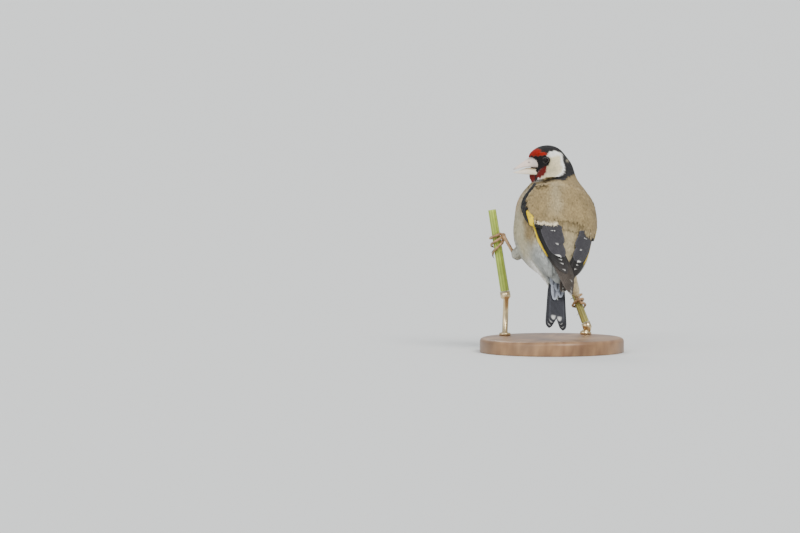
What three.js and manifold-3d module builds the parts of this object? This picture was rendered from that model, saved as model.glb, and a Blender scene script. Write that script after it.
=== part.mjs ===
// A life-size European goldfinch that clings to two upright plant stems, seen from behind with its
// head turned to its left. Millimetres, +Z up. The origin is the middle of the stand's underside.
// -Y is the side that the bird's back faces, and +X is on its right.
import * as THREE from "three";
import { mergeVertices } from "three/addons/utils/BufferGeometryUtils.js";
import Module from "manifold-3d";

const wasm = await Module();
wasm.setup();

const GAP = 0.3; // kept between nodes that touch
const DEGREE = Math.PI / 180;

// Body frame: x runs from the tail to the neck, y to the bird's left and z out of its back.
const BODY_CENTRE = new THREE.Vector3(1.4, 10, 66.8);
const BODY_PITCH = 56; // the back's slope over the horizon
const BODY_ROLL = 25; // how far the back turns towards the bird's right
const AXIS_DROP = -1.5; // the middle line that the torso's sections are measured from

// Head frame: x runs out along the bill, y to the head's left and z to the crown.
const HEAD_CENTRE = new THREE.Vector3(0.8, 24, 98.1);
const BILL_AWAY = 4; // the bill's turn from -X towards +Y
const BILL_DOWN = 8;

// Tail frame: x runs from the rump to the tips, y to the left and z out of the upper side.
const TAIL_BASE = new THREE.Vector3(3.2, -5.1, 50.4);
const TAIL_TIP = new THREE.Vector3(1.9, -33.6, 13.6);
const TAIL_ROLL = 12;
const TAIL_LENGTH = TAIL_BASE.distanceTo(TAIL_TIP);

// The eyes: where the eyeball's middle lies in the head, and the ring of the lids round it.
const EYE = { forward: 2.4, up: 2.55, side: 5.2, radius: 2.35 };
const LID = { out: 1.72, ring: 2.3, thickness: 0.44, forward: 0.47 };
const BILL = { base: 7.6, tip: 21.1, halfWidth: 4 };
const NOSTRIL = { forward: 12.2, side: 2.3, up: 2.7, radius: 0.5 };

const VANE = 0.5; // thickness of a vane
const CAPE = 2.0; // how far the mantle's feathers stand over the folded wing's root
const CAPE_END = -12.8; // body x where they end on the back
const CAPE_RADIUS = 17; // turns an angle over the back into millimetres
const CAPE_RAMP = 1.3;

const STEM = { sides: 14, leftRadius: 2.2, rightRadius: 1.9 };
const STEM_LEFT = { top: new THREE.Vector3(-31.4, 18.6, 74), foot: new THREE.Vector3(-24.6, 18.6, 31) };
const STEM_RIGHT = { top: new THREE.Vector3(11.4, 29, 32), foot: new THREE.Vector3(18.2, 29, 14) };

const BASE = { halfX: 38, halfY: 44, height: 7.5, bevel: 1.6, sides: 48 };
const ROD_RADIUS = 1.5;

const COLOURS = {
  mantle: [0.56, 0.42, 0.25, 0.8],
  head: [0.75, 0.7, 0.62, 0.8],
  wing: [0.03, 0.03, 0.035, 0.6],
  tail: [0.05, 0.05, 0.055, 0.6],
  bill: [0.85, 0.72, 0.66, 0.4],
  eye: [0.01, 0.008, 0.006, 0.08],
  thigh: [0.72, 0.68, 0.62, 0.8],
  leg: [0.52, 0.3, 0.22, 0.5],
  claw: [0.08, 0.055, 0.045, 0.35],
  stemGreen: [0.38, 0.5, 0.1, 0.6],
  stemBrown: [0.4, 0.25, 0.08, 0.7],
  wood: [0.3, 0.19, 0.1, 0.45],
  rod: [0.6, 0.5, 0.3, 0.3, 1],
};

const vec = (x, y, z) => new THREE.Vector3(x, y, z);
const clamp01 = (t) => Math.min(1, Math.max(0, t));
const smooth = (t) => clamp01(t) ** 2 * (3 - 2 * clamp01(t));
const mix = (a, b, t) => a + (b - a) * t;

// Frames: an origin and three unit axes.

function makeFrame(origin, x, y, z) {
  return {
    origin,
    axes: [x, y, z],
    at: (a, b, c) => origin.clone().addScaledVector(x, a).addScaledVector(y, b).addScaledVector(z, c),
    along: (a, b, c) => vec(0, 0, 0).addScaledVector(x, a).addScaledVector(y, b).addScaledVector(z, c),
    of: (p) => {
      const q = p.clone().sub(origin);
      return vec(q.dot(x), q.dot(y), q.dot(z));
    },
  };
}

function bodyFrame() {
  const [sp, cp] = [Math.sin(BODY_PITCH * DEGREE), Math.cos(BODY_PITCH * DEGREE)];
  const [sr, cr] = [Math.sin(BODY_ROLL * DEGREE), Math.cos(BODY_ROLL * DEGREE)];
  return makeFrame(BODY_CENTRE, vec(0, cp, sp), vec(-cr, -sp * sr, cp * sr), vec(sr, -sp * cr, cp * cr));
}

function headFrame() {
  const [sa, ca] = [Math.sin(BILL_AWAY * DEGREE), Math.cos(BILL_AWAY * DEGREE)];
  const [sb, cb] = [Math.sin(BILL_DOWN * DEGREE), Math.cos(BILL_DOWN * DEGREE)];
  const x = vec(-ca * cb, sa * cb, -sb);
  const z = vec(-ca * sb, sa * sb, cb);
  return makeFrame(HEAD_CENTRE, x, z.clone().cross(x), z);
}

function tailFrame() {
  const x = TAIL_TIP.clone().sub(TAIL_BASE).normalize();
  const level = vec(-1, 0, 0).addScaledVector(x, x.x).normalize();
  const up = level.clone().cross(x).normalize();
  const [s, c] = [Math.sin(TAIL_ROLL * DEGREE), Math.cos(TAIL_ROLL * DEGREE)];
  const y = level.clone().multiplyScalar(c).addScaledVector(up, s);
  const z = up.clone().multiplyScalar(c).addScaledVector(level, -s);
  return makeFrame(TAIL_BASE, x, y, z);
}

const body = bodyFrame();
const head = headFrame();
const tail = tailFrame();

// The plumage's outer form: ellipsoids that melt into each other.
// Each mass is a frame, a centre and radii in that frame, and how softly it joins the ones before it.
const MASSES = [
  { frame: body, centre: [-0.1, 0, 1.5], radii: [26.3, 20, 19.2], blend: 0 },
  { frame: body, centre: [-4.2, 0, -6.6], radii: [21.1, 18.8, 14.6], blend: 6 },
  { frame: body, centre: [12, 0, -7.6], radii: [15.6, 16.6, 13.5], blend: 6 },
  { frame: body, centre: [12.8, 0, 2], radii: [16.3, 12.5, 10.7], blend: 6 },
  { frame: body, centre: [-19.9, 0, 6.8], radii: [16.7, 14.6, 7.7], blend: 8 },
  { frame: body, centre: [-18.3, 0, -2.5], radii: [16.1, 8, 6.1], blend: 8 },
  { frame: tail, centre: [7.9, 0, -2.7], radii: [21, 3.7, 3.8], blend: 6 },
  { frame: head, centre: [-1.6, 0, -7.7], radii: [8, 9.4, 9.9], blend: 8 },
  { frame: head, centre: [3.2, 0, 1.1], radii: [10.4, 8.6, 9], blend: 4 },
  { frame: head, centre: [4.3, 0, -3.4], radii: [9.1, 6.9, 6.2], blend: 3 },
  { frame: head, centre: [-1.4, 0, -3.8], radii: [8, 8.9, 6.8], blend: 3 },
];

function ellipsoidDistance(p, { frame, centre, radii }) {
  const q = frame.of(p);
  const [a, b, c] = [q.x - centre[0], q.y - centre[1], q.z - centre[2]];
  const near = Math.hypot(a / radii[0], b / radii[1], c / radii[2]);
  const slope = Math.hypot(a / radii[0] ** 2, b / radii[1] ** 2, c / radii[2] ** 2);
  return slope < 1e-9 ? -Math.min(...radii) : (near * (near - 1)) / slope;
}

// The face narrows from the eyes to the bill between two leaning planes. They let go of the throat
// and stand a little wider at the forehead.
const FACE = { halfWidth: 7.4, from: 2.2, slope: 0.62, chin: 2.2, brow: 1.2, throat: 40, blend: 2.5 };

function faceTaper(q) {
  const room =
    FACE.halfWidth -
    FACE.slope * (q.x - FACE.from) +
    FACE.chin * smooth((-3 - q.z) / 5) +
    FACE.brow * smooth((q.z - 4) / 4) +
    FACE.throat * smooth((-7 - q.z) / 6);
  return (Math.abs(q.y) - room) / Math.hypot(1, FACE.slope);
}

function plumageDistance(p) {
  let found = Infinity;
  for (const mass of MASSES) {
    const d = ellipsoidDistance(p, mass);
    if (found === Infinity) {
      found = d;
      continue;
    }
    const t = clamp01(0.5 + (0.5 * (found - d)) / mass.blend);
    found = mix(found, d, t) - mass.blend * t * (1 - t);
  }
  const face = faceTaper(head.of(p));
  const t = clamp01(0.5 - (0.5 * (found - face)) / FACE.blend);
  return mix(found, face, t) + FACE.blend * t * (1 - t);
}

// How far the plumage reaches from an inside point in a direction: the outermost crossing.
function reach(origin, direction, most = 46) {
  const at = (r) => plumageDistance(origin.clone().addScaledVector(direction, r));
  const step = 1;
  let r = most;
  while (r > 0 && at(r) > 0) r -= Math.max(step * 0.5, at(r) * 0.6);
  if (r <= 0) return 0;
  let [low, high] = [r, Math.min(most, r + 2)];
  while (at(high) < 0 && high < most) high += step;
  for (let i = 0; i < 22; i++) {
    const middle = (low + high) / 2;
    if (at(middle) > 0) high = middle;
    else low = middle;
  }
  return (low + high) / 2;
}

// The side edge of the mantle's feathers over the wing, as [body x, angle from the back].
const CAPE_SIDE = [
  [20, 46], [14.4, 55], [8.7, 66], [3.7, 66], [0, 63],
  [-5.8, 56], [-10.4, 46], [-12.4, 28], [-12.8, 0],
];

// The value at x of a line through [x, value] points whose x falls.
function lineAt(line, x) {
  const i = Math.min(line.length - 2, Math.max(0, line.findIndex(([at]) => at <= x) - 1));
  const [[x0, a0], [x1, a1]] = [line[i], line[i + 1]];
  return mix(a0, a1, clamp01((x - x0) / (x1 - x0)));
}

function capeHeight(p) {
  const q = body.of(p);
  const angle = Math.abs(Math.atan2(q.y, q.z - AXIS_DROP));
  const side = (lineAt(CAPE_SIDE, q.x) * DEGREE - angle) * CAPE_RADIUS;
  const over = smooth(Math.min(side, q.x - CAPE_END) / CAPE_RAMP);
  const intoNeck = smooth((27 - q.x) / 12);
  return CAPE * over * intoNeck;
}

// The spine that the skin's sections are cast from, tail to crown.
const SPINE = new THREE.CatmullRomCurve3([
  tail.at(17, 0, -2.4),
  tail.at(2, 0, -3),
  body.at(-12, 0, AXIS_DROP),
  body.at(4, 0, AXIS_DROP),
  body.at(17, 0, AXIS_DROP),
  HEAD_CENTRE.clone().add(vec(0.6, -2.5, -13)),
  HEAD_CENTRE.clone().add(vec(0.5, 0, -4)),
  HEAD_CENTRE.clone().add(vec(0, 0, 3)),
]);

// A point of the skin: s runs 0 to 1 from the tail's root to the crown, angle 0 is the back and 90 the left.
function skinPoint(s, angle, extra = 0) {
  const end = 0.13;
  const t = clamp01((s - end) / (1 - 2 * end));
  const origin = SPINE.getPointAt(t);
  const along = SPINE.getTangentAt(t);
  const tilt = s < end ? -90 * (1 - s / end) : s > 1 - end ? 90 * (1 - (1 - s) / end) : 0;
  const back = body.axes[2].clone().addScaledVector(along, -body.axes[2].dot(along)).normalize();
  const side = back.clone().cross(along).normalize();
  const [sa, ca] = [Math.sin(angle * DEGREE), Math.cos(angle * DEGREE)];
  const out = back.multiplyScalar(ca).addScaledVector(side, sa).multiplyScalar(Math.cos(tilt * DEGREE));
  out.addScaledVector(along, Math.sin(tilt * DEGREE));
  const p = origin.clone().addScaledVector(out, reach(origin, out));
  return p.addScaledVector(out, capeHeight(p) + extra);
}

// Solids. A solid is a closed manifold, and a mesh is made of one at the end.

function solidOf(points, triangles) {
  const geometry = new THREE.BufferGeometry().setFromPoints(points);
  geometry.setIndex(triangles);
  return solidOfGeometry(geometry);
}

function solidOfGeometry(geometry) {
  const plain = new THREE.BufferGeometry().setAttribute("position", geometry.getAttribute("position"));
  if (geometry.index) plain.setIndex(geometry.index);
  const merged = mergeVertices(plain, 1e-4);
  const solid = new wasm.Manifold(
    new wasm.Mesh({
      numProp: 3,
      vertProperties: new Float32Array(merged.attributes.position.array),
      triVerts: new Uint32Array(merged.index.array),
    }),
  );
  return solid;
}

const united = (solids) => solids.reduce((a, b) => a.add(b));

function largestBody(solid) {
  const bodies = solid.decompose();
  return bodies.reduce((a, b) => (b.volume() > a.volume() ? b : a));
}

// Sections of equal point count, joined side to side and closed by a point or a fan at each end.
function loft(sections) {
  const sides = sections[0].length;
  const points = sections.flat();
  const triangles = [];
  for (let i = 0; i + 1 < sections.length; i++) {
    for (let j = 0; j < sides; j++) {
      const [a, b] = [i * sides + j, i * sides + ((j + 1) % sides)];
      triangles.push(a, b, b + sides, a, b + sides, a + sides);
    }
  }
  for (const [ring, flip] of [[0, true], [sections.length - 1, false]]) {
    const middle = vec(0, 0, 0);
    sections[ring].forEach((p) => middle.addScaledVector(p, 1 / sides));
    const tip = points.push(middle) - 1;
    for (let j = 0; j < sides; j++) {
      const [a, b] = [ring * sides + j, ring * sides + ((j + 1) % sides)];
      triangles.push(...(flip ? [tip, b, a] : [tip, a, b]));
    }
  }
  const solid = solidOf(points, triangles);
  return solid.volume() < 0 ? solidOf(points, triangles.reverse()) : solid;
}

// A round tube along points, with a radius for each.
function tube(points, radii, sides = 8) {
  const along = points.map((p, i) => {
    const [before, after] = [points[Math.max(0, i - 1)], points[Math.min(points.length - 1, i + 1)]];
    return after.clone().sub(before).normalize();
  });
  let side = Math.abs(along[0].z) < 0.9 ? vec(0, 0, 1) : vec(1, 0, 0);
  const sections = points.map((p, i) => {
    side = side.clone().addScaledVector(along[i], -side.dot(along[i])).normalize();
    const other = along[i].clone().cross(side);
    return Array.from({ length: sides }, (_, j) => {
      const turn = (2 * Math.PI * j) / sides;
      return p
        .clone()
        .addScaledVector(side, radii[i] * Math.cos(turn))
        .addScaledVector(other, radii[i] * Math.sin(turn));
    });
  });
  return loft(sections);
}

// A thin vane from a grid of points on its upper face. Each point has the way out of the face.
function vane(grid, thickness = VANE) {
  const [rows, columns] = [grid.length, grid[0].length];
  const upper = grid.flat().map((g) => g.point.clone());
  const lower = grid.flatMap((row, i) =>
    row.map((g) => g.point.clone().addScaledVector(g.out, -thickness * (i === rows - 1 ? 0.6 : 1))),
  );
  const under = upper.length;
  const triangles = [];
  const quad = (a, b, c, d) => triangles.push(a, b, c, a, c, d);
  for (let i = 0; i + 1 < rows; i++) {
    for (let j = 0; j + 1 < columns; j++) {
      const [a, b] = [i * columns + j, i * columns + j + 1];
      const [c, d] = [b + columns, a + columns];
      triangles.push(a, b, c, a, c, d);
      triangles.push(under + a, under + c, under + b, under + a, under + d, under + c);
    }
    const [a, b] = [i * columns, (i + 1) * columns];
    quad(a, b, under + b, under + a);
    const [c, d] = [a + columns - 1, b + columns - 1];
    quad(c, under + c, under + d, d);
  }
  for (let j = 0; j + 1 < columns; j++) {
    quad(j, under + j, under + j + 1, j + 1);
    const last = (rows - 1) * columns + j;
    quad(last, last + 1, under + last + 1, under + last);
  }
  const points = [...upper, ...lower];
  const solid = solidOf(points, triangles);
  return solid.volume() < 0 ? solidOf(points, triangles.reverse()) : solid;
}

// The share of a feather's width at a share of its length: narrow at the root, round at the tip.
function vaneWidth(s, tipRound = 0.16) {
  const root = mix(0.55, 1, smooth(s / 0.45));
  const tip = s > 1 - tipRound ? Math.sqrt(Math.max(0.05, 1 - ((s - 1 + tipRound) / tipRound) ** 2)) : 1;
  return root * tip;
}

const WING_ROWS = [0, 0.45, 0.86, 1];
const TAIL_ROWS = [0, 0.5, 0.91, 1];

// Plumage: the whole skin, then thin cuts between head, neck, torso and rump.

const SKIN_RINGS = 44;
const SKIN_SIDES = 32;

function skinSolid(extra) {
  const sections = [];
  for (let i = 1; i < SKIN_RINGS; i++) {
    const s = i / SKIN_RINGS;
    sections.push(
      Array.from({ length: SKIN_SIDES }, (_, j) => skinPoint(s, (360 * j) / SKIN_SIDES, extra)),
    );
  }
  return loft(sections);
}

// A thick plate with its middle plane through a point, used as a thin cut or a half space.
function slab(point, normal, below, above) {
  const size = 200;
  const box = new THREE.BoxGeometry(size, size, above + below);
  box.translate(0, 0, (above - below) / 2);
  const turn = new THREE.Quaternion().setFromUnitVectors(vec(0, 0, 1), normal.clone().normalize());
  box.applyQuaternion(turn);
  box.translate(point.x, point.y, point.z);
  return solidOfGeometry(box);
}

const CUTS = {
  head: { point: head.at(0, 0, -7.6), normal: head.along(0.22, 0.1, 1) },
  neck: { point: body.at(23.5, 0, 4), normal: body.along(1, 0, 0.22) },
  rump: { point: body.at(-19, 0, 0), normal: body.along(1, 0, 0) },
  tail: { point: tail.at(11, 0, 0), normal: tail.along(-1, 0, 0) },
};

function plumageParts() {
  const whole = skinSolid(0);
  const far = 200;
  const above = (cut) => slab(cut.point, cut.normal, -GAP / 2, far);
  const below = (cut) => slab(cut.point, cut.normal, far, -GAP / 2);
  const aboveHead = above(CUTS.head);
  const underHead = whole.intersect(below(CUTS.head));
  const underNeck = underHead.intersect(below(CUTS.neck));
  const underTorso = underNeck.intersect(below(CUTS.rump));
  return {
    head: largestBody(whole.intersect(aboveHead)),
    neck: largestBody(underHead.intersect(above(CUTS.neck))),
    torso: largestBody(underNeck.intersect(above(CUTS.rump))),
    rump: largestBody(underTorso.intersect(above(CUTS.tail))),
    tailRoot: largestBody(underTorso.intersect(below(CUTS.tail))),
  };
}

// Wings. A wing's chart is body x along the bird, and the angle from the back to its outer side.

// Each folded wing's outer edge, from the bend to the tip, and its inner edge, as [x, angle].
// The left wing's tip lies over the right one's.
const BEND = [[20, 66], [14.4, 62], [8.7, 76], [3.7, 78], [-5.8, 69], [-11.6, 60.5]];
const STRIP = CAPE_SIDE.filter(([x]) => x > CAPE_END + 1).map(([x, angle]) => [x, angle + 2]);
const WINGS = {
  left: {
    side: 1,
    tipLift: 1.5,
    outer: [...BEND, [-20.4, 52], [-28, 40], [-38.5, 17], [-45, 3.3], [-50.5, -10]],
    inner: [...STRIP, [-13.6, 13], [-21, 7.3], [-28.4, 2.6], [-33.8, -4.2], [-40.8, -16.6], [-50.5, -24]],
  },
  right: {
    side: -1,
    tipLift: -2.2,
    outer: [...BEND, [-20.4, 53], [-28.8, 46], [-35.5, 42], [-40.2, 31], [-45, 24], [-50.5, 20]],
    inner: [...STRIP, [-13.6, 12.5], [-25.4, 8], [-32.4, 8], [-40, 7], [-50.5, 6]],
  },
};

function wingRadius(wing, x, angle) {
  const origin = body.at(x, 0, AXIS_DROP);
  const signed = angle * wing.side * DEGREE;
  const out = body.along(0, Math.sin(signed), Math.cos(signed));
  const hug = x > -34 ? reach(origin, out) : 0;
  const free = mix(15.2, 10.6, smooth((-24 - x) / 26)) + wing.tipLift * smooth((-26 - x) / 12);
  const soft = 3;
  const t = clamp01(0.5 + (0.5 * (hug - free)) / soft);
  return { origin, out, radius: mix(free, hug, t) + soft * t * (1 - t) };
}

function wingPoint(wing, x, angle, lift) {
  const { origin, out, radius } = wingRadius(wing, x, angle);
  return { point: origin.addScaledVector(out, radius + lift), out };
}

// A feather of the wing. v is where its outer edge runs between the wing's outer edge, 0, and inner edge, 1.
function wingVane(wing, { root, tip, vRoot, vTip, width, lift, tipRound }) {
  const grid = WING_ROWS.map((s) => {
    const x = mix(root, tip, s);
    const v = mix(vRoot, vTip, s);
    const outer = mix(lineAt(wing.outer, x), lineAt(wing.inner, x), v);
    const { radius } = wingRadius(wing, x, outer);
    const full = width / radius / DEGREE;
    const half = (full / 2) * vaneWidth(s, tipRound);
    const middle = outer - full / 2;
    return [-1, 0, 1].map((c) => wingPoint(wing, x, middle - c * half, lift + (c === 0 ? 0.12 : 0)));
  });
  return vane(grid);
}

const LIFT = 0.55; // the outermost primary over the body
const LIFT_STEP = 0.13; // each feather further in lies this much higher

const ROOT = -13.5; // body x of the roots that the mantle's feathers meet

function flightFeathers() {
  const feathers = [];
  const primaries = [[-47.6, 0], [-50.2, 0.08], [-49.6, 0.26], [-47, 0.42], [-44.4, 0.52], [-42, 0.56]];
  primaries.forEach(([tip, vTip], i) => {
    feathers.push({ root: ROOT, tip, vRoot: 0.045 * i, vTip, width: 5.6 });
  });
  const secondaries = [[-37.6, 0.12], [-34, 0.24]];
  secondaries.forEach(([tip, vTip], i) => {
    feathers.push({ root: ROOT, tip, vRoot: 0.25 + 0.14 * i, vTip, width: 8 });
  });
  const tertials = [[-29.6, 0.24, 8.6], [-23.6, 0.38, 8.8], [-18, 0.44, 8]];
  tertials.forEach(([tip, v, width]) => {
    feathers.push({ root: ROOT, tip, vRoot: v + 0.06, vTip: v, width, tipRound: 0.3 });
  });
  return feathers.map((feather, i) => ({ ...feather, lift: LIFT + LIFT_STEP * i }));
}

function wingCoverts() {
  const rows = [];
  for (let i = 0; i < 3; i++) {
    const [vRoot, vTip] = [0.12 + 0.2 * i, 0.12 + 0.19 * i];
    rows.push({ root: ROOT, tip: -16.8, vRoot, vTip, width: 5.6, lift: 1.9 });
  }
  for (let i = 0; i < 2; i++) {
    rows.push({ root: 1 - 5 * i, tip: -7 - 5 * i, vRoot: 0, vTip: 0.04 * i, width: 3.4, lift: 1.1 });
  }
  for (let i = 0; i < 2; i++) {
    rows.push({ root: 14 - 6 * i, tip: 4 - 5 * i, vRoot: 0, vTip: 0, width: 3.6, lift: 1.3 });
  }
  return rows.map((row, i) => ({ ...row, tipRound: 0.3, lift: row.lift + 0.07 * i }));
}

// The sheet under the vanes, which ties them into one piece from the bend to past the tertials.
function wingSheet(wing) {
  const xs = [16, 11, 6, 0, -6, -12, ROOT - 0.4, -19, -26, -32];
  const grid = xs.map((x) => {
    const [outer, inner] = [lineAt(wing.outer, x), lineAt(wing.inner, x)];
    return [0.06, 0.35, 0.65, 0.9].map((v) => wingPoint(wing, x, mix(outer, inner, v), LIFT + 0.35));
  });
  return vane(grid, 0.9);
}

function wingSolid(wing, trim) {
  const feathers = [...flightFeathers(), ...wingCoverts()].map((feather) => wingVane(wing, feather));
  return largestBody(united([wingSheet(wing), ...feathers]).subtract(trim));
}

// Tail: twelve feathers in a closed, notched stack, and the long coverts over and under their roots.

function tailVane({ root, tip, sideRoot, sideTip, width, lift, liftTip, bow = 0.25, tipRound }) {
  const grid = TAIL_ROWS.map((s) => {
    const x = mix(root, tip, s);
    const half = (width / 2) * vaneWidth(s, tipRound);
    const middle = mix(sideRoot, sideTip, s);
    const z = mix(lift, liftTip, s);
    return [-1, 0, 1].map((c) => ({
      point: tail.at(x, middle + c * half, z + (c === 0 ? bow : 0)),
      out: tail.axes[2],
    }));
  });
  return vane(grid);
}

const TAIL_PAIRS = 6;

function tailSolid(root) {
  const pieces = [];
  for (let i = TAIL_PAIRS - 1; i >= 0; i--) {
    for (const side of [-1, 1]) {
      pieces.push(
        tailVane({
          root: 6,
          tip: TAIL_LENGTH - 1.2 - 4.2 * (1 - i / (TAIL_PAIRS - 1)) - (side < 0 ? 0 : 0.5),
          sideRoot: side * (0.7 + 0.22 * i),
          sideTip: side * (1.7 + 0.4 * i),
          width: 4.4,
          lift: -2.2 - 0.24 * i,
          liftTip: -0.2 - 0.26 * i,
          tipRound: 0.1,
        }),
      );
    }
  }
  const covert = (tip, side, lift, liftTip) => {
    const sides = { sideRoot: side * 0.5, sideTip: side };
    return tailVane({ root: 8, tip, ...sides, width: 4.6, lift, liftTip, tipRound: 0.4 });
  };
  const uppers = [[27.5, 1.5, 0.9], [25.5, -1.8, 1.1], [20, 0.4, 1.5]];
  uppers.forEach(([tip, side, lift]) => pieces.push(covert(tip, side, lift, lift - 0.9)));
  const unders = [[28, 0.8], [24, -1.4]];
  unders.forEach(([tip, side]) => pieces.push(covert(tip, side, -4.6, -3.4)));
  const free = united(pieces).intersect(slab(CUTS.tail.point, CUTS.tail.normal, 200, -GAP / 2));
  return largestBody(free.add(root));
}

// Head: eyes and bill.

function eyeSolid(side, radius) {
  const ball = new THREE.SphereGeometry(radius, 14, 10);
  const at = head.at(EYE.forward, side * EYE.side, EYE.up);
  ball.translate(at.x, at.y, at.z);
  return solidOfGeometry(ball);
}

const BILL_STEPS = [0, 0.2, 0.4, 0.6, 0.78, 0.9, 0.97, 1];

// One mandible: sections along the bill between an outer ridge line and the cutting edge.
function mandible(ridge, edge, grow = 0) {
  const sections = BILL_STEPS.map((s) => {
    const x = mix(BILL.base - grow, BILL.tip, s);
    const half = (BILL.halfWidth + grow) * Math.max(0.035, (1 - s) ** 0.8);
    const [top, bottom] = [ridge(s), edge(s)];
    const arc = [];
    for (let j = 0; j <= 8; j++) {
      const turn = (Math.PI * j) / 8;
      arc.push(head.at(x, half * Math.cos(turn), mix(bottom, top, Math.sin(turn) ** 0.8)));
    }
    return arc;
  });
  return loft(sections);
}

// The bill's lines at a share s of its length: the culmen, both cutting edges and the underside.
const culmenLine = (grow) => (s) => 0.35 + 6.7 * (1 - s) ** 0.86 - 0.45 * s + grow;
const upperEdge = (s) => mix(-0.55, 0.35, smooth(2.2 * s)) - 0.55 * smooth((s - 0.55) / 0.45);
const lowerEdge = (s) => mix(-1.0, -0.15, smooth(2 * s)) - 1.25 * smooth((s - 0.35) / 0.65);
const chinLine = (grow) => (s) => -1.75 - 2.9 * (1 - s) ** 0.72 - grow;

// The lids: a ring round each eye that stands out of the face.
function lidSolid(side) {
  const ring = new THREE.TorusGeometry(LID.ring, LID.thickness, 6, 18);
  const out = head.along(LID.forward, side, 0.03).normalize();
  ring.applyQuaternion(new THREE.Quaternion().setFromUnitVectors(vec(0, 0, 1), out));
  const at = head.at(EYE.forward, side * EYE.side, EYE.up).addScaledVector(out, LID.out);
  ring.translate(at.x, at.y, at.z);
  return solidOfGeometry(ring);
}

function nostrilSolid(side) {
  const hole = new THREE.SphereGeometry(NOSTRIL.radius, 8, 6);
  hole.scale(1.4, 1, 0.8);
  const at = head.at(NOSTRIL.forward, side * NOSTRIL.side, NOSTRIL.up);
  hole.translate(at.x, at.y, at.z);
  return solidOfGeometry(hole);
}

// The line of the mouth runs back from the bill into the face as a thin groove.
function mouthLine() {
  const groove = new THREE.BoxGeometry(5, 14, 0.4);
  const at = head.at(8.6, 0, -1.2);
  groove.rotateY(-BILL_DOWN * DEGREE).translate(at.x, at.y, at.z);
  return solidOfGeometry(groove);
}

// Legs. A foot holds a stem: its toes run round it and its claws end them.

function stemFrame(stem) {
  const up = stem.top.clone().sub(stem.foot).normalize();
  const right = vec(1, 0, 0).addScaledVector(up, -up.x).normalize();
  return makeFrame(stem.foot, right, right.clone().cross(up).normalize(), up);
}

// A point beside the stem: turn 0 is its +X side and 90 its -Y side.
function besideStem(stem, radius, turn, height) {
  const f = stemFrame(stem);
  return f.at(radius * Math.cos(turn * DEGREE), radius * Math.sin(turn * DEGREE), height);
}

const TOE = { radius: 0.78, tipRadius: 0.55, steps: 6, clawSteps: 4, clawGap: 0.35 };

function toePath(stem, stemRadius, toe) {
  const away = stemRadius + GAP + TOE.radius;
  const turnPerMm = 1 / away / DEGREE;
  const direction = Math.sign(toe.turnEnd - toe.turnStart);
  const path = (turn, lift) => {
    const s = (turn - toe.turnStart) / (toe.turnEnd - toe.turnStart);
    return besideStem(stem, away + lift, turn, mix(toe.heightStart, toe.heightEnd, s));
  };
  const points = [toe.knuckle];
  const radii = [TOE.radius * 1.15];
  for (let i = 0; i <= TOE.steps; i++) {
    const s = i / TOE.steps;
    points.push(path(mix(toe.turnStart, toe.turnEnd, s), 0.25 * Math.sin(Math.PI * s)));
    radii.push(mix(TOE.radius, TOE.tipRadius, s) * (1 + 0.1 * Math.cos(s * 6 * Math.PI)));
  }
  const claw = [];
  const clawRadii = [];
  const start = toe.turnEnd + direction * TOE.clawGap * turnPerMm;
  for (let i = 0; i <= TOE.clawSteps; i++) {
    const s = i / TOE.clawSteps;
    claw.push(path(start + direction * s * toe.claw * turnPerMm, 0.7 * s * s));
    clawRadii.push(mix(0.46, 0.1, s));
  }
  return { points, radii, claw, clawRadii };
}

const FEET = {
  left: {
    stem: STEM_LEFT,
    stemRadius: STEM.leftRadius,
    hip: body.at(-9, 9, -8),
    ankle: vec(-19.6, 9.5, 50.6),
    ball: vec(-25.4, 16.6, 60.6),
    thighEnd: 3.2,
    toes: [
      { turnStart: 42, turnEnd: 196, heightStart: 30.4, heightEnd: 28.6, claw: 3.6 },
      { turnStart: 36, turnEnd: 204, heightStart: 28.6, heightEnd: 24.4, claw: 3.8 },
      { turnStart: 24, turnEnd: 170, heightStart: 26.6, heightEnd: 20.2, claw: 3 },
      { turnStart: -24, turnEnd: -108, heightStart: 25.6, heightEnd: 23, claw: 3.4 },
    ],
  },
  right: {
    stem: STEM_RIGHT,
    stemRadius: STEM.rightRadius,
    hip: body.at(-10, -8, -8),
    ankle: vec(13.2, 15, 28.6),
    ball: vec(14.6, 25.4, 26),
    thighEnd: 2.1,
    toes: [
      { turnStart: 70, turnEnd: -84, heightStart: 14.6, heightEnd: 14.2, claw: 3.4 },
      { turnStart: 64, turnEnd: -96, heightStart: 12.6, heightEnd: 10.4, claw: 3.6 },
      { turnStart: 60, turnEnd: -70, heightStart: 10.6, heightEnd: 6.8, claw: 3.4 },
      { turnStart: 116, turnEnd: 216, heightStart: 12, heightEnd: 9.4, claw: 4 },
    ],
  },
};

const THIGH_TOP = 5.4; // radius at the hip

// The thigh's end closes in a round.
const thighEnd = (s) => (s > 0.9 ? Math.sqrt(1.06 - ((s - 0.85) / 0.18) ** 2) : 1);

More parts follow.
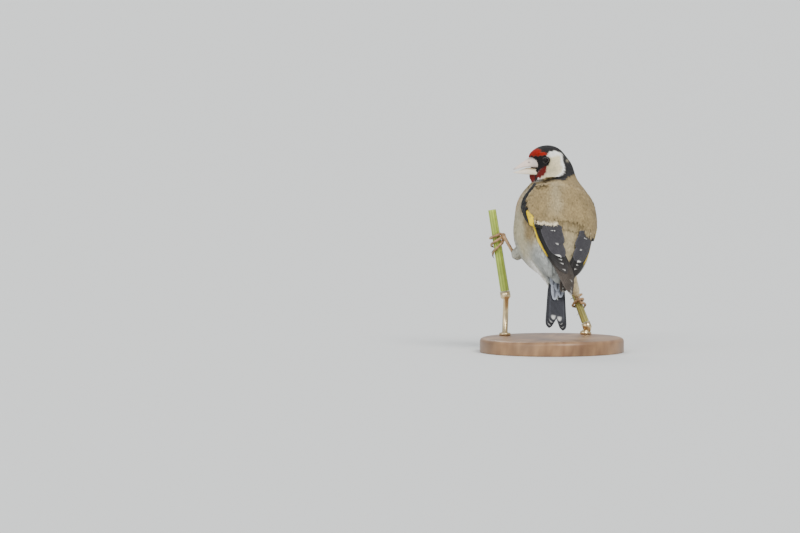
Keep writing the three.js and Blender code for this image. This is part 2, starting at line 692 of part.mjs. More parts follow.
function legParts(foot) {
  const shin = foot.ball.clone().sub(foot.ankle);
  const thighSteps = [0, 0.3, 0.6, 0.85, 0.96, 1.03];
  const thigh = tube(
    thighSteps.map((s) => foot.hip.clone().lerp(foot.ankle, s)),
    thighSteps.map((s) => mix(THIGH_TOP, foot.thighEnd, smooth(s / 0.85)) * thighEnd(s)),
    12,
  );
  const shankSteps = [0, 0.12, 0.3, 0.7, 0.9, 1];
  const shankTube = (grow) =>
    tube(
      shankSteps.map((s) => foot.ankle.clone().addScaledVector(shin, mix(0.02, 0.93, s))),
      shankSteps.map((s) => 0.78 + 0.3 * (2 * s - 1) ** 4 + grow),
      10,
    );
  const shank = shankTube(0);
  const socket = tube(
    [0, 1].map((s) => foot.ankle.clone().addScaledVector(shin, mix(-0.02, 0.96, s))),
    [1.08 + GAP + 0.05, 1.08 + GAP + 0.05],
    10,
  );
  const ball = new THREE.IcosahedronGeometry(1.35, 1).translate(foot.ball.x, foot.ball.y, foot.ball.z);
  const toes = foot.toes.map((toe) =>
    toePath(foot.stem, foot.stemRadius, { ...toe, knuckle: foot.ball.clone() }),
  );
  const sole = united([solidOfGeometry(ball), ...toes.map((t) => tube(t.points, t.radii, 6))]);
  const claws = toes.map((t) => tube(t.claw, t.clawRadii, 6));
  const clawRoom = united(toes.map((t) => tube(t.claw, t.clawRadii.map((r) => r + GAP), 6)));
  return {
    thigh: largestBody(thigh.subtract(socket)),
    shank,
    sole: largestBody(sole.subtract(socket).subtract(clawRoom)),
    claws,
  };
}

// Stand and stems.

function stemSolid(stem, radius) {
  const steps = 8;
  const points = [];
  const radii = [];
  for (let i = 0; i <= steps; i++) {
    points.push(stem.foot.clone().lerp(stem.top, i / steps));
    radii.push(radius * mix(1.05, 0.93, i / steps));
  }
  return tube(points, radii, STEM.sides);
}

function baseSolid() {
  const rings = [
    [1, 0],
    [1, BASE.height - BASE.bevel],
    [1 - BASE.bevel / 3 / BASE.halfX, BASE.height - BASE.bevel / 3],
    [1 - BASE.bevel / BASE.halfX, BASE.height],
  ];
  return loft(
    rings.map(([share, z]) =>
      Array.from({ length: BASE.sides }, (_, j) => {
        const turn = (2 * Math.PI * j) / BASE.sides;
        return vec(BASE.halfX * share * Math.cos(turn), BASE.halfY * share * Math.sin(turn), z);
      }),
    ),
  );
}

// A rod stands on the base and ends in a small cup under the cut end of its stem.
const CUP = { depth: 4, slope: 0.8, wall: 0.5 };
const FLANGE = { height: 1.4, radius: 3 };

function rodSolid(stem, radius) {
  const up = stem.top.clone().sub(stem.foot).normalize();
  const below = (depth) => stem.foot.clone().addScaledVector(up, -depth);
  const foot = vec(stem.foot.x - 0.5 * up.x, stem.foot.y, BASE.height + GAP);
  const over = (height) => foot.clone().setZ(foot.z + height);
  const sections = [
    [foot, FLANGE.radius],
    [over(FLANGE.height), FLANGE.radius],
    [over(FLANGE.height + 0.2), ROD_RADIUS],
    [below(CUP.depth), ROD_RADIUS],
    [below(CUP.depth - CUP.slope), radius + CUP.wall],
    [below(GAP), radius + CUP.wall],
  ];
  return tube(sections.map(([p]) => p), sections.map(([, r]) => r), 16);
}

// Assembly.

const group = new THREE.Group();

function addNode(name, solid, colour) {
  const mesh = solid.getMesh();
  const geometry = new THREE.BufferGeometry();
  const stride = mesh.numProp;
  const positions = new Float32Array(mesh.numVert * 3);
  for (let i = 0; i < mesh.numVert; i++) {
    positions.set(mesh.vertProperties.subarray(i * stride, i * stride + 3), i * 3);
  }
  geometry.setAttribute("position", new THREE.BufferAttribute(positions, 3));
  geometry.setIndex(new THREE.BufferAttribute(mesh.triVerts, 1));
  geometry.computeVertexNormals();
  const [r, g, b, roughness, metalness = 0] = colour;
  const material = new THREE.MeshStandardMaterial({ color: new THREE.Color(r, g, b), roughness, metalness });
  const node = new THREE.Mesh(geometry, material);
  node.name = name;
  group.add(node);
}

const parts = plumageParts();
const plumageGrown = skinSolid(GAP + 0.05);

// Eyes sit in sockets, and the bill's roots in a recess of the face.
const sockets = united([eyeSolid(1, EYE.radius + GAP), eyeSolid(-1, EYE.radius + GAP)]);
const upper = mandible(culmenLine(0), upperEdge);
const lower = mandible(chinLine(0), lowerEdge);
const recess = united([mandible(culmenLine(GAP), lowerEdge, GAP), mandible(chinLine(GAP), upperEdge, GAP)]);
const face = united([parts.head, lidSolid(1), lidSolid(-1)]).subtract(sockets).subtract(recess);
addNode("head", largestBody(face.subtract(mouthLine())), COLOURS.head);
addNode("eye_left", eyeSolid(1, EYE.radius), COLOURS.eye);
addNode("eye_right", eyeSolid(-1, EYE.radius), COLOURS.eye);
const nostrils = united([nostrilSolid(1), nostrilSolid(-1)]);
addNode("bill_upper", largestBody(upper.subtract(nostrils)), COLOURS.bill);
addNode("bill_lower", lower, COLOURS.bill);
addNode("neck", parts.neck, COLOURS.mantle);

const legs = { left: legParts(FEET.left), right: legParts(FEET.right) };
addNode("torso", parts.torso, COLOURS.mantle);
addNode("rump", parts.rump, COLOURS.mantle);

const tailPart = tailSolid(parts.tailRoot);
addNode("tail", tailPart, COLOURS.tail);
for (const [side, wing] of Object.entries(WINGS)) {
  addNode(`wing_${side}`, wingSolid(wing, plumageGrown), COLOURS.wing);
}
for (const [side, { thigh, shank, sole, claws }] of Object.entries(legs)) {
  addNode(`thigh_${side}`, largestBody(thigh.subtract(plumageGrown)), COLOURS.thigh);
  addNode(`shank_${side}`, shank, COLOURS.leg);
  addNode(`foot_${side}`, sole, COLOURS.leg);
  claws.forEach((claw, i) => addNode(`claw_${side}_${i + 1}`, claw, COLOURS.claw));
}

addNode("perch_left", stemSolid(STEM_LEFT, STEM.leftRadius), COLOURS.stemGreen);
addNode("perch_right", stemSolid(STEM_RIGHT, STEM.rightRadius), COLOURS.stemBrown);
addNode("stand_base", baseSolid(), COLOURS.wood);
addNode("stand_rod_left", rodSolid(STEM_LEFT, STEM.leftRadius), COLOURS.rod);
addNode("stand_rod_right", rodSolid(STEM_RIGHT, STEM.rightRadius), COLOURS.rod);

export default group;
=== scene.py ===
import bpy
import numpy as np
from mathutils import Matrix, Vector


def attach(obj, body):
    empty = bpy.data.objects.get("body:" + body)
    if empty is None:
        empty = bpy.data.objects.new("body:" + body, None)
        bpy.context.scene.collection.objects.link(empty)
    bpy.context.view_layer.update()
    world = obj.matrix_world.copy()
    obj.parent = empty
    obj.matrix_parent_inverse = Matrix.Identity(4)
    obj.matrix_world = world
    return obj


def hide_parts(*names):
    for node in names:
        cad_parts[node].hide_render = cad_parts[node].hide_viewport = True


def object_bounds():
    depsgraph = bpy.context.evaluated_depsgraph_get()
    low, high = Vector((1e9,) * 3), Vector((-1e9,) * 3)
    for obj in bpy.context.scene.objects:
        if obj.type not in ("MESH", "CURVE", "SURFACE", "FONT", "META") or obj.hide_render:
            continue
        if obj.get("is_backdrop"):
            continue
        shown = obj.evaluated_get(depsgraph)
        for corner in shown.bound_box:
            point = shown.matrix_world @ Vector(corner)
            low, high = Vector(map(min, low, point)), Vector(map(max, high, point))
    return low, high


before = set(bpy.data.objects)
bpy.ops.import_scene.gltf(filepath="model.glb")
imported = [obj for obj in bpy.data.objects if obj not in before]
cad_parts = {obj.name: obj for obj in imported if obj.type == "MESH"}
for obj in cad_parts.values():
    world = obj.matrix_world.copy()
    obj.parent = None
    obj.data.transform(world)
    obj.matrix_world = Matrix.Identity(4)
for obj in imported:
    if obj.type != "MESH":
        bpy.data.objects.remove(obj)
cad_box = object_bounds()

DEG = np.pi / 180
rng = np.random.default_rng(7)

BODY_CENTRE = (1.4, 10, 66.8)
BODY_PITCH = 56 * DEG
BODY_ROLL = 25 * DEG
AXIS_DROP = -1.5
HEAD_CENTRE = np.array((0.8, 24, 98.1))
BILL_AWAY = 4 * DEG
BILL_DOWN = 8 * DEG
TAIL_BASE = np.array((3.2, -5.1, 50.4))
TAIL_TIP = np.array((1.9, -33.6, 13.6))
TAIL_ROLL = 12 * DEG

CAPE = 2.0
CAPE_END = -12.8
CAPE_RADIUS = 17
CAPE_RAMP = 1.3
CAPE_SIDE = [  # body x and angle from the back
    (20, 46), (14.4, 55), (8.7, 66), (3.7, 66), (0, 63), (-5.8, 56), (-10.4, 46), (-12.4, 28), (-12.8, 0),
]

STEM_LEFT = {"top": (-31.4, 18.6, 74), "foot": (-24.6, 18.6, 31), "radius": 2.2}
STEM_RIGHT = {"top": (11.4, 29, 32), "foot": (18.2, 29, 14), "radius": 1.9}

COAT = 0.6  # how deep the coat lies over the skin


def unit(v):
    return v / np.maximum(np.linalg.norm(v, axis=-1, keepdims=True), 1e-9)


def dot(a, b):
    return (a * b).sum(-1, keepdims=True)


def smooth(t):
    t = np.clip(t, 0, 1)
    return t * t * (3 - 2 * t)


def mix(a, b, t):
    return a + (b - a) * t


def rgb(*parts):
    return np.array(parts)


def distance(p, place):
    return np.linalg.norm(p - place, axis=-1)


def turns(sides):
    return np.arange(sides) / sides * 2 * np.pi


def circle(turn, a, b):
    """Directions round a circle that starts at a and goes towards b."""
    return np.cos(turn)[:, None] * a + np.sin(turn)[:, None] * b


class Frame:
    """An origin and three unit axes."""

    def __init__(self, origin, x, y, z):
        self.origin = np.array(origin, float)
        self.axes = np.array([x, y, z], float)
        self.x, self.y, self.z = self.axes

    def along(self, a, b, c):
        return np.stack(np.broadcast_arrays(a, b, c), -1) @ self.axes

    def at(self, a, b, c):
        return self.origin + self.along(a, b, c)

    def of(self, p):
        return (p - self.origin) @ self.axes.T


def body_frame():
    sp, cp, sr, cr = np.sin(BODY_PITCH), np.cos(BODY_PITCH), np.sin(BODY_ROLL), np.cos(BODY_ROLL)
    return Frame(BODY_CENTRE, (0, cp, sp), (-cr, -sp * sr, cp * sr), (sr, -sp * cr, cp * cr))


def head_frame():
    sa, ca, sb, cb = np.sin(BILL_AWAY), np.cos(BILL_AWAY), np.sin(BILL_DOWN), np.cos(BILL_DOWN)
    x = np.array((-ca * cb, sa * cb, -sb))
    z = np.array((-ca * sb, sa * sb, cb))
    return Frame(HEAD_CENTRE, x, np.cross(z, x), z)


def tail_frame():
    x = unit(TAIL_TIP - TAIL_BASE)
    level = unit(np.array((-1, 0, 0)) + x * x[0])
    up = unit(np.cross(level, x))
    s, c = np.sin(TAIL_ROLL), np.cos(TAIL_ROLL)
    return Frame(TAIL_BASE, x, level * c + up * s, up * c - level * s)


body, head, tail = body_frame(), head_frame(), tail_frame()

# The plumage's outer form: frame, centre, radii and how softly each mass joins the ones before it.
MASSES = [
    (body, (-0.1, 0, 1.5), (26.3, 20, 19.2), 0),
    (body, (-4.2, 0, -6.6), (21.1, 18.8, 14.6), 6),
    (body, (12, 0, -7.6), (15.6, 16.6, 13.5), 6),
    (body, (12.8, 0, 2), (16.3, 12.5, 10.7), 6),
    (body, (-19.9, 0, 6.8), (16.7, 14.6, 7.7), 8),
    (body, (-18.3, 0, -2.5), (16.1, 8, 6.1), 8),
    (tail, (7.9, 0, -2.7), (21, 3.7, 3.8), 6),
    (head, (-1.6, 0, -7.7), (8, 9.4, 9.9), 8),
    (head, (3.2, 0, 1.1), (10.4, 8.6, 9), 4),
    (head, (4.3, 0, -3.4), (9.1, 6.9, 6.2), 3),
    (head, (-1.4, 0, -3.8), (8, 8.9, 6.8), 3),
]

# The face narrows from the eyes to the bill between two leaning planes.
FACE = {"half": 7.4, "from": 2.2, "slope": 0.62, "chin": 2.2, "brow": 1.2, "throat": 40, "blend": 2.5}


def face_taper(q):
    x, y, z = q[..., 0], q[..., 1], q[..., 2]
    room = FACE["half"] - FACE["slope"] * (x - FACE["from"]) + FACE["chin"] * smooth((-3 - z) / 5)
    room = room + FACE["brow"] * smooth((z - 4) / 4) + FACE["throat"] * smooth((-7 - z) / 6)
    return (np.abs(y) - room) / np.hypot(1, FACE["slope"])


def plumage(p):
    """Distance of points from the plumage's outer form, negative inside."""
    found = None
    for f, centre, radii, blend in MASSES:
        q = f.of(p) - np.array(centre)
        r = np.array(radii)
        near = np.sqrt(((q / r) ** 2).sum(-1))
        slope = np.sqrt(((q / r**2) ** 2).sum(-1))
        d = near * (near - 1) / np.maximum(slope, 1e-9)
        if found is None:
            found = d
            continue
        t = np.clip(0.5 + 0.5 * (found - d) / blend, 0, 1)
        found = mix(found, d, t) - blend * t * (1 - t)
    face = face_taper(head.of(p))
    t = np.clip(0.5 - 0.5 * (found - face) / FACE["blend"], 0, 1)
    return mix(found, face, t) + FACE["blend"] * t * (1 - t)


def reach(origin, out, most=46.0, steps=70):
    """How far the plumage reaches from inside points: the outermost crossing along each way out."""
    low = np.zeros(origin.shape[:-1])
    high = np.full(origin.shape[:-1], most)
    found = np.zeros(origin.shape[:-1], bool)
    for r in np.linspace(most, 0, steps):
        inside = plumage(origin + out * r) < 0
        low = np.where(~found & inside, r, low)
        high = np.where(~found & ~inside, r, high)
        found |= inside
    for _ in range(12):
        middle = (low + high) / 2
        inside = plumage(origin + out * middle[..., None]) < 0
        low = np.where(inside, middle, low)
        high = np.where(inside, high, middle)
    return (low + high) / 2


def line_at(line, x):
    xs = np.array([a for a, _ in line])[::-1]
    values = np.array([b for _, b in line])[::-1]
    return np.interp(x, xs, values)


def chart(p):
    """Body x and the signed angle from the back, in degrees, left side positive."""
    q = body.of(p)
    return q[..., 0], np.arctan2(q[..., 1], q[..., 2] - AXIS_DROP) / DEG


def cape_height(p):
    x, angle = chart(p)
    side = (line_at(CAPE_SIDE, x) - np.abs(angle)) * DEG * CAPE_RADIUS
    return CAPE * smooth(np.minimum(side, x - CAPE_END) / CAPE_RAMP) * smooth((27 - x) / 12)


def along_line(s, run, points):
    """Points at the runs s of a line whose own points lie at the given runs."""
    return np.stack([np.interp(s, run, points[:, k]) for k in range(3)], -1)


def curve_points(points, n):
    """A smooth curve through points, sampled evenly along its length."""
    points = np.array(points, float)
    padded = np.vstack([2 * points[0] - points[1], points, 2 * points[-1] - points[-2]])
    fine = []
    for i in range(len(points) - 1):
        a, b, c, d = padded[i : i + 4]
        t = np.linspace(0, 1, 40, endpoint=False)[:, None]
        square, cube = 2 * a - 5 * b + 4 * c - d, 3 * b - a - 3 * c + d
        fine.append(0.5 * (2 * b + (c - a) * t + square * t**2 + cube * t**3))
    fine = np.vstack(fine + [points[-1:]])
    run = np.concatenate([[0], np.cumsum(np.linalg.norm(np.diff(fine, axis=0), axis=1))])
    return along_line(np.linspace(0, run[-1], n), run, fine)


def wobble(p, scale, seed):
    """A smooth random field between about -1 and 1."""
    draw = np.random.default_rng(seed)
    total = np.zeros(p.shape[:-1])
    for _ in range(7):
        way = unit(draw.normal(size=3)) / scale * draw.uniform(0.6, 1.6)
        total += np.sin(p @ way * 2 * np.pi + draw.uniform(0, 2 * np.pi))
    return total / 3.2


# Meshes and materials.


def add_object(name, data):
    made = bpy.data.objects.new(name, data)
    bpy.context.scene.collection.objects.link(made)
    return made


def set_tint(mesh, colours):
    """Gives a mesh its markings, with their painted shade and highlight, one colour a point."""
    tint = mesh.color_attributes.new(name="tint", type="FLOAT_COLOR", domain="POINT")
    rgba = np.concatenate([np.clip(colours, 0, 1), np.ones((len(colours), 1))], 1)
    tint.data.foreach_set("color", rgba.astype(np.float32).ravel())


def add_mesh(name, verts, faces, uvs=None, colours=None, bake=None):
    """faces is a list of index arrays, each with one row a face; verts are millimetres."""
    mesh = bpy.data.meshes.new(name)
    verts = np.asarray(verts, float).reshape(-1, 3)
    mesh.vertices.add(len(verts))
    mesh.vertices.foreach_set("co", (verts * 0.001).astype(np.float32).ravel())
    loops = np.concatenate([f.ravel() for f in faces])
    totals = np.concatenate([np.full(len(f), f.shape[1]) for f in faces])
    starts = np.concatenate([[0], np.cumsum(totals)[:-1]])
    mesh.loops.add(len(loops))
    mesh.loops.foreach_set("vertex_index", loops.astype(np.int32))
    mesh.polygons.add(len(totals))
    mesh.polygons.foreach_set("loop_start", starts.astype(np.int32))
    mesh.polygons.foreach_set("loop_total", totals.astype(np.int32))
    mesh.polygons.foreach_set("use_smooth", np.full(len(totals), True))
    for layer, values in (("OFBake", bake), ("vane", uvs)):
        if values is not None:
            made = mesh.uv_layers.new(name=layer)
            made.data.foreach_set("uv", np.asarray(values)[loops].astype(np.float32).ravel())
    if colours is not None:
        set_tint(mesh, colours)
    mesh.update()
    mesh.validate()
    return add_object(name, mesh)


def grid_faces(rows, columns, wrap=False):
    i, j = np.meshgrid(np.arange(rows - 1), np.arange(columns if wrap else columns - 1), indexing="ij")
    a, b = i * columns + j, i * columns + (j + 1) % columns
    return np.stack([a, b, b + columns, a + columns], -1).reshape(-1, 4)


def capped(rings, first, last):
    """Closes rings of points into a solid, with a middle point at each end."""
    count, sides = rings.shape[:2]
    j = np.arange(sides)
    after = (j + 1) % sides
    end = (count - 1) * sides
    start_fan = np.stack([after, j, np.full(sides, count * sides)], -1)
    end_fan = np.stack([end + j, end + after, np.full(sides, count * sides + 1)], -1)
    verts = np.vstack([rings.reshape(-1, 3), first, last])
    return verts, [grid_faces(count, sides, wrap=True), np.vstack([start_fan, end_fan])]


def tube_mesh(points, radii, sides=24, section=None):
    """A closed tube. section(s, turn) scales the radius round the tube."""
    points = np.array(points, float)
    n = len(points)
    along = unit(np.gradient(points, axis=0))
    side = np.array((0, 0, 1.0)) if abs(along[0][2]) < 0.9 else np.array((1.0, 0, 0))
    turn = turns(sides)
    rings = []
    for i in range(n):
        side = unit(side - along[i] * (side @ along[i]))
        other = np.cross(along[i], side)
        scale = np.ones(sides) if section is None else section(i / (n - 1), turn)
        rings.append(points[i] + radii[i] * scale[:, None] * circle(turn, side, other))
    return capped(np.array(rings), points[0], points[-1])


def joined(parts):
    """Several (verts, faces) as one."""
    verts, faces, start = [], [], 0
    for v, fs in parts:
        verts.append(v)
        faces += [f + start for f in fs]
        start += len(v)
    return np.vstack(verts), faces


BUMP_DEPTH = 0.0002  # metres


def set_inputs(node, values):
    for socket, value in values.items():
        node.inputs[socket.replace("_", " ")].default_value = value


def new_node(nodes, kind, **values):
    """Adds a shader node and sets its inputs by name."""
    node = nodes.new("ShaderNode" + kind)
    set_inputs(node, values)
    return node


def new_material(name, roughness, **sockets):
    material = bpy.data.materials.new(name)
    material.use_nodes = True
    nodes, links = material.node_tree.nodes, material.node_tree.links
    shader = nodes["Principled BSDF"]
    set_inputs(shader, {"Roughness": roughness, **sockets})
    return material, nodes, links, shader


def tinted_material(name, roughness, scale, amount, bump=0.0, bump_scale=900.0, barbs=0.0, **sockets):
    """The piece's markings, with the painted shade and highlight laid into them, varied by noise. barbs adds
    the fine lines of a vane.
    """
    material, nodes, links, shader = new_material(name, roughness, **sockets)
    tint = new_node(nodes, "Attribute")
    tint.attribute_name = "tint"
    place = new_node(nodes, "TexCoord")
    noise = new_node(nodes, "TexNoise", Scale=scale, Detail=4)
    links.new(place.outputs["Object"], noise.inputs["Vector"])
    ramp = new_node(nodes, "MapRange", From_Min=0.3, From_Max=0.7, To_Min=1 - amount, To_Max=1 + amount)
    links.new(noise.outputs["Fac"], ramp.inputs["Value"])
    scaled = new_node(nodes, "VectorMath")
    scaled.operation = "SCALE"
    links.new(tint.outputs["Color"], scaled.inputs[0])
    links.new(ramp.outputs["Result"], scaled.inputs["Scale"])
    links.new(scaled.outputs["Vector"], shader.inputs["Base Color"])
    height = None
    if barbs:
        uv = new_node(nodes, "UVMap")
        uv.uv_map = "vane"
        wave = new_node(nodes, "TexWave", Scale=barbs, Distortion=0.6)
        wave.wave_type = "BANDS"
        wave.bands_direction = "X"
        links.new(uv.outputs["UV"], wave.inputs["Vector"])
        height = wave.outputs["Fac"]
    elif bump:
        grain = new_node(nodes, "TexNoise", Scale=bump_scale, Detail=3)
        links.new(place.outputs["Object"], grain.inputs["Vector"])
        height = grain.outputs["Fac"]
    if height is not None:
        bumped = new_node(nodes, "Bump", Strength=bump, Distance=BUMP_DEPTH)
        links.new(height, bumped.inputs["Height"])
        links.new(bumped.outputs["Normal"], shader.inputs["Normal"])
    return material


MATERIALS = {
    "skin": tinted_material("skin_mat", 0.8, 700, 0.1, bump=0.3),
    "coat": tinted_material(
        "coat_mat", 0.7, 500, 0.1, Sheen_Weight=0.08, Sheen_Roughness=0.5, Specular_IOR_Level=0.15
    ),
    "flight": tinted_material("flight_mat", 0.55, 400, 0.12, bump=0.5, barbs=1.0, Specular_IOR_Level=0.25),
    "horn": tinted_material("horn_mat", 0.36, 900, 0.06, bump=0.15, bump_scale=1600),
    "leg": tinted_material("leg_mat", 0.48, 1200, 0.12, bump=0.4, bump_scale=2500),
    "stem": tinted_material("stem_mat", 0.5, 300, 0.16, bump=0.3, bump_scale=1200),
    "wood": tinted_material("wood_mat", 0.4, 90, 0.2, bump=0.12, bump_scale=400),
    "rod": tinted_material("rod_mat", 0.28, 120, 0.08, Metallic=1.0),
    "eye": tinted_material("eye_mat", 0.04, 900, 0.2, Specular_IOR_Level=0.18),
    "lid": tinted_material("lid_mat", 0.55, 2400, 0.15, bump=0.5, bump_scale=3500),
}


def dress(piece, material, slot, *nodes):
    piece.data.materials.append(MATERIALS[material])
    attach(piece, "root")
    if nodes:
        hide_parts(*nodes)
    return piece


# Markings, with some painted shade and a painted highlight. Each function gives the colour of points by where
# they lie on the bird.

BROWN = rgb(0.285, 0.208, 0.097)
TAWNY = rgb(0.42, 0.3, 0.16)
CREAM = rgb(0.72, 0.62, 0.44)
PALE_CREAM = CREAM * 1.15
FLANK = rgb(0.46, 0.41, 0.27)
WHITE = rgb(0.93, 0.91, 0.85)
RUMP_GREY = rgb(0.34, 0.35, 0.33)
TROUSERS = rgb(0.6, 0.5, 0.3)
ASH = rgb(0.42, 0.41, 0.34)
COVERT_BLUE = rgb(0.33, 0.35, 0.4)
CHEEK = rgb(0.74, 0.65, 0.42)
BLACK = rgb(0.014, 0.013, 0.013)
RED = rgb(0.4, 0.014, 0.005)
# The face's red darkened: painted shade below the eye and on the chin under the bill.
SHADED_RED = rgb(0.16, 0.012, 0.008)
YELLOW = rgb(0.95, 0.66, 0.01)
SLATE = rgb(0.042, 0.041, 0.044)
WING_BROWN = rgb(0.065, 0.052, 0.042)
BLUE_BLACK = rgb(0.034, 0.034, 0.04)
COAL = rgb(0.011, 0.0105, 0.01)
# The tertials' black, lightened to a blue-grey: the lightness is painted sheen.
TERTIAL_BLACK_AND_SHEEN = rgb(0.048, 0.045, 0.05)

# Outlines on the side of the head, as head x and z.
RED_FORE = [
    (14, 4.2), (10, 5.9), (6, 5.7), (3, 5.3), (1.5, 4.9), (1.5, 5.8), (3.2, 6.7), (5.5, 8.1), (7.4, 8.9),
    (9, 9.6), (14, 12),
]
RED_LOW = [
    (3.2, -0.4), (6.6, -2.1), (8.3, -4.3), (8.9, -6.5), (7.2, -6.9), (4.4, -5.6), (2.8, -3.3), (2.2, -0.9),
]
RED_CHIN = [(9.7, -4.2), (14, -3.6), (14, -9.5), (9.6, -8.3)]
# The black lores between eye and bill, drawn wide round the eye: the wider part is painted shade, not black
# plumage.
BLACK_LORES_AND_EYE_SHADE = [
    (0.1, 2.5), (0.9, 4.3), (1.5, 4.9), (3, 5.3), (6, 5.7), (10, 5.9), (14, 4.2), (14, -3.6), (9.7, -4.2),
    (10.2, -9), (8.4, -8.2), (8.3, -4.3), (6.6, -2.1), (3.2, -0.6), (1, -0.2),
]
PALE_CHEEK = [
    (2.2, -0.9), (2.8, -3.3), (4.4, -5.6), (7.2, -6.9), (4.6, -8), (1.9, -8.3), (-2, -8), (-4.8, -6.7),
    (-6.1, -4.6), (-6.1, -1.6), (-5.3, 0.8), (-5.5, 3), (-4.7, 5.2), (-2, 6.3), (0.8, 6.2), (1.5, 5),
    (0.7, 2.6), (1.3, 0.4),
]
BLACK_CROWN = [
    (14, 12), (9, 9.6), (7.4, 8.9), (5.5, 8.1), (3.2, 6.7), (1.5, 5.8), (0.8, 6.2), (-2, 6.3), (-4.7, 5.2),
    (-5.5, 3), (-5.3, 0.8), (-6.1, -1.6), (-6.1, -4.6), (-4.8, -6.7), (-2, -8), (1, -8.5), (-2, -9),
    (-6.1, -9.4), (-8.6, -8), (-13, -6.4), (-14, 16), (12, 16),
]


def signed_distance(p, outline):
    """Distance inside an outline, positive inside."""
    outline = np.array(outline, float)
    best = np.full(p.shape[:-1], 1e9)
    inside = np.zeros(p.shape[:-1], bool)
    for a, b in zip(outline, np.roll(outline, -1, axis=0)):
        edge = b - a
        t = np.clip(((p - a) @ edge) / (edge @ edge), 0, 1)
        best = np.minimum(best, np.linalg.norm(p - a - t[..., None] * edge, axis=-1))
        crosses = (a[1] > p[..., 1]) != (b[1] > p[..., 1])
        with np.errstate(divide="ignore", invalid="ignore"):
            x = a[0] + (p[..., 1] - a[1]) * edge[0] / edge[1]
        inside ^= crosses & (p[..., 0] < x)
    return np.where(inside, best, -best)


def lay(colour, other, weight):
    """Lays another colour over one, by a weight at each point."""
    return mix(colour, other, np.clip(weight, 0, 1)[..., None])


CHART_MM = 0.3  # about the millimetres of one degree on the back


def chart_distance(x, angle, outline):
    """Distance inside an outline that is given as body x and angle from the back."""
    return signed_distance(np.stack([x, angle * CHART_MM], -1), [(a, b * CHART_MM) for a, b in outline])


# The pale band along the mantle's lower edge, as body x and angle from the back.
PALE_BAND = [(-10.2, 55), (-11.2, 46), (-12, 36), (-12.8, 24), (-13.4, 17), (-15, 16), (-15, 56), (-10.6, 56)]


def body_colour(p):
    x, angle = chart(p)
    a = np.abs(angle)
    t = tail.of(p)
    soft = wobble(p, 9, 11)
    fine = wobble(p, 2.5, 12)
    colour = np.broadcast_to(BROWN, p.shape) * (1 + 0.1 * soft + 0.05 * fine)[..., None]
    streak = np.exp(-(((angle - 22 + 3 * soft) / 9) ** 2)) * smooth((18 - x) / 8) * smooth((x + 12) / 8)
    colour = lay(colour, FLANK, 0.35 * streak)
    colour = lay(colour, FLANK, smooth((a - 66 + 6 * soft) / 26) * smooth((22 - x) / 8))
    colour = lay(colour, WHITE, smooth((a - 112 + 8 * soft) / 30))
    breast = np.exp(-(((x - 12) / 7) ** 2) - ((a - 112) / 26) ** 2)
    colour = lay(colour, TAWNY, 1.1 * breast)
    colour = lay(colour, FLANK, 0.45 * smooth((-8 - x) / 14) * smooth((70 - a) / 20))
    colour = lay(colour, ASH, smooth((-16 - x + 2 * soft) / 10) * smooth((a - 30) / 25))
    aside = np.maximum(smooth((a - 10) / 14), smooth((t[..., 0] - 9) / 5))
    by_tail = smooth((t[..., 0] + 2) / 8)
    colour = lay(colour, RUMP_GREY, aside * by_tail * smooth((t[..., 2] + 3.5) / 2))
    colour = lay(colour, WHITE, by_tail * smooth((-3 - t[..., 2]) / 2))
    band = chart_distance(x, a, PALE_BAND)
    colour = lay(colour, PALE_CREAM, smooth(band / 0.8 + 0.5) * (angle > 0))
    for side, tint in (("left", ASH), ("right", TROUSERS)):
        colour = lay(colour, tint, smooth((13 - distance(p, THIGHS[side][1])) / 5))
    return colour


MARK_EDGE = 0.35  # how soft the edge of a mark is
MARK_WANDER = 0.28  # how far the edge strays
# Where a painted highlight sits on the black nape, as head x and z.
NAPE_HIGHLIGHT = (-7.4, 0.1)


def head_marks(p, colour):
    """Lays the head's marks over the body's colour, with painted shade round the eye and under the bill and a
    painted highlight on the nape.
    """
    q = head.of(p)
    x, z = q[..., 0], q[..., 2]
    side = np.stack([x + MARK_WANDER * wobble(p, 2.2, 3), z + MARK_WANDER * wobble(p, 2.2, 4)], -1)
    throat = smooth((x + 1.5) / 3) * smooth((z + 9.3) / 0.8)
    by_chin = smooth((9.5 - distance(p, head.at(6, 0, -9))) / 3 + 0.6)
    colour = lay(colour, WHITE * 0.94, throat * by_chin)
    cheek = signed_distance(side, PALE_CHEEK)
    rim = smooth((1.6 - cheek) / 1.2) * smooth((-0.5 - x) / 2) + smooth((z - 3) / 1.5)
    cheek_colour = lay(np.broadcast_to(CHEEK, p.shape), WHITE, rim)
    colour = lay(colour, cheek_colour, smooth(cheek / MARK_EDGE + 0.5))
    for outline, tint in (
        (BLACK_CROWN, BLACK * 1.4),
        # The face's black holds painted shade round the eye as well as the black lores.
        (BLACK_LORES_AND_EYE_SHADE, BLACK),
        (RED_FORE, RED),
        # The red below the eye and on the chin is darkened: painted shade.
        (RED_LOW, SHADED_RED),
        (RED_CHIN, SHADED_RED),
    ):
        colour = lay(colour, tint, smooth(signed_distance(side, outline) / MARK_EDGE + 0.5))
    # A small pale spot on the black nape: a painted highlight.
    spot = np.exp(-((x - NAPE_HIGHLIGHT[0]) ** 2 + (z - NAPE_HIGHLIGHT[1]) ** 2) / 0.3)
    return lay(colour, CREAM, spot * 0.6)


def plumage_colour(p):
    return head_marks(p, body_colour(p))


# The skin: sections cast from a spine, then sunk under the coat.

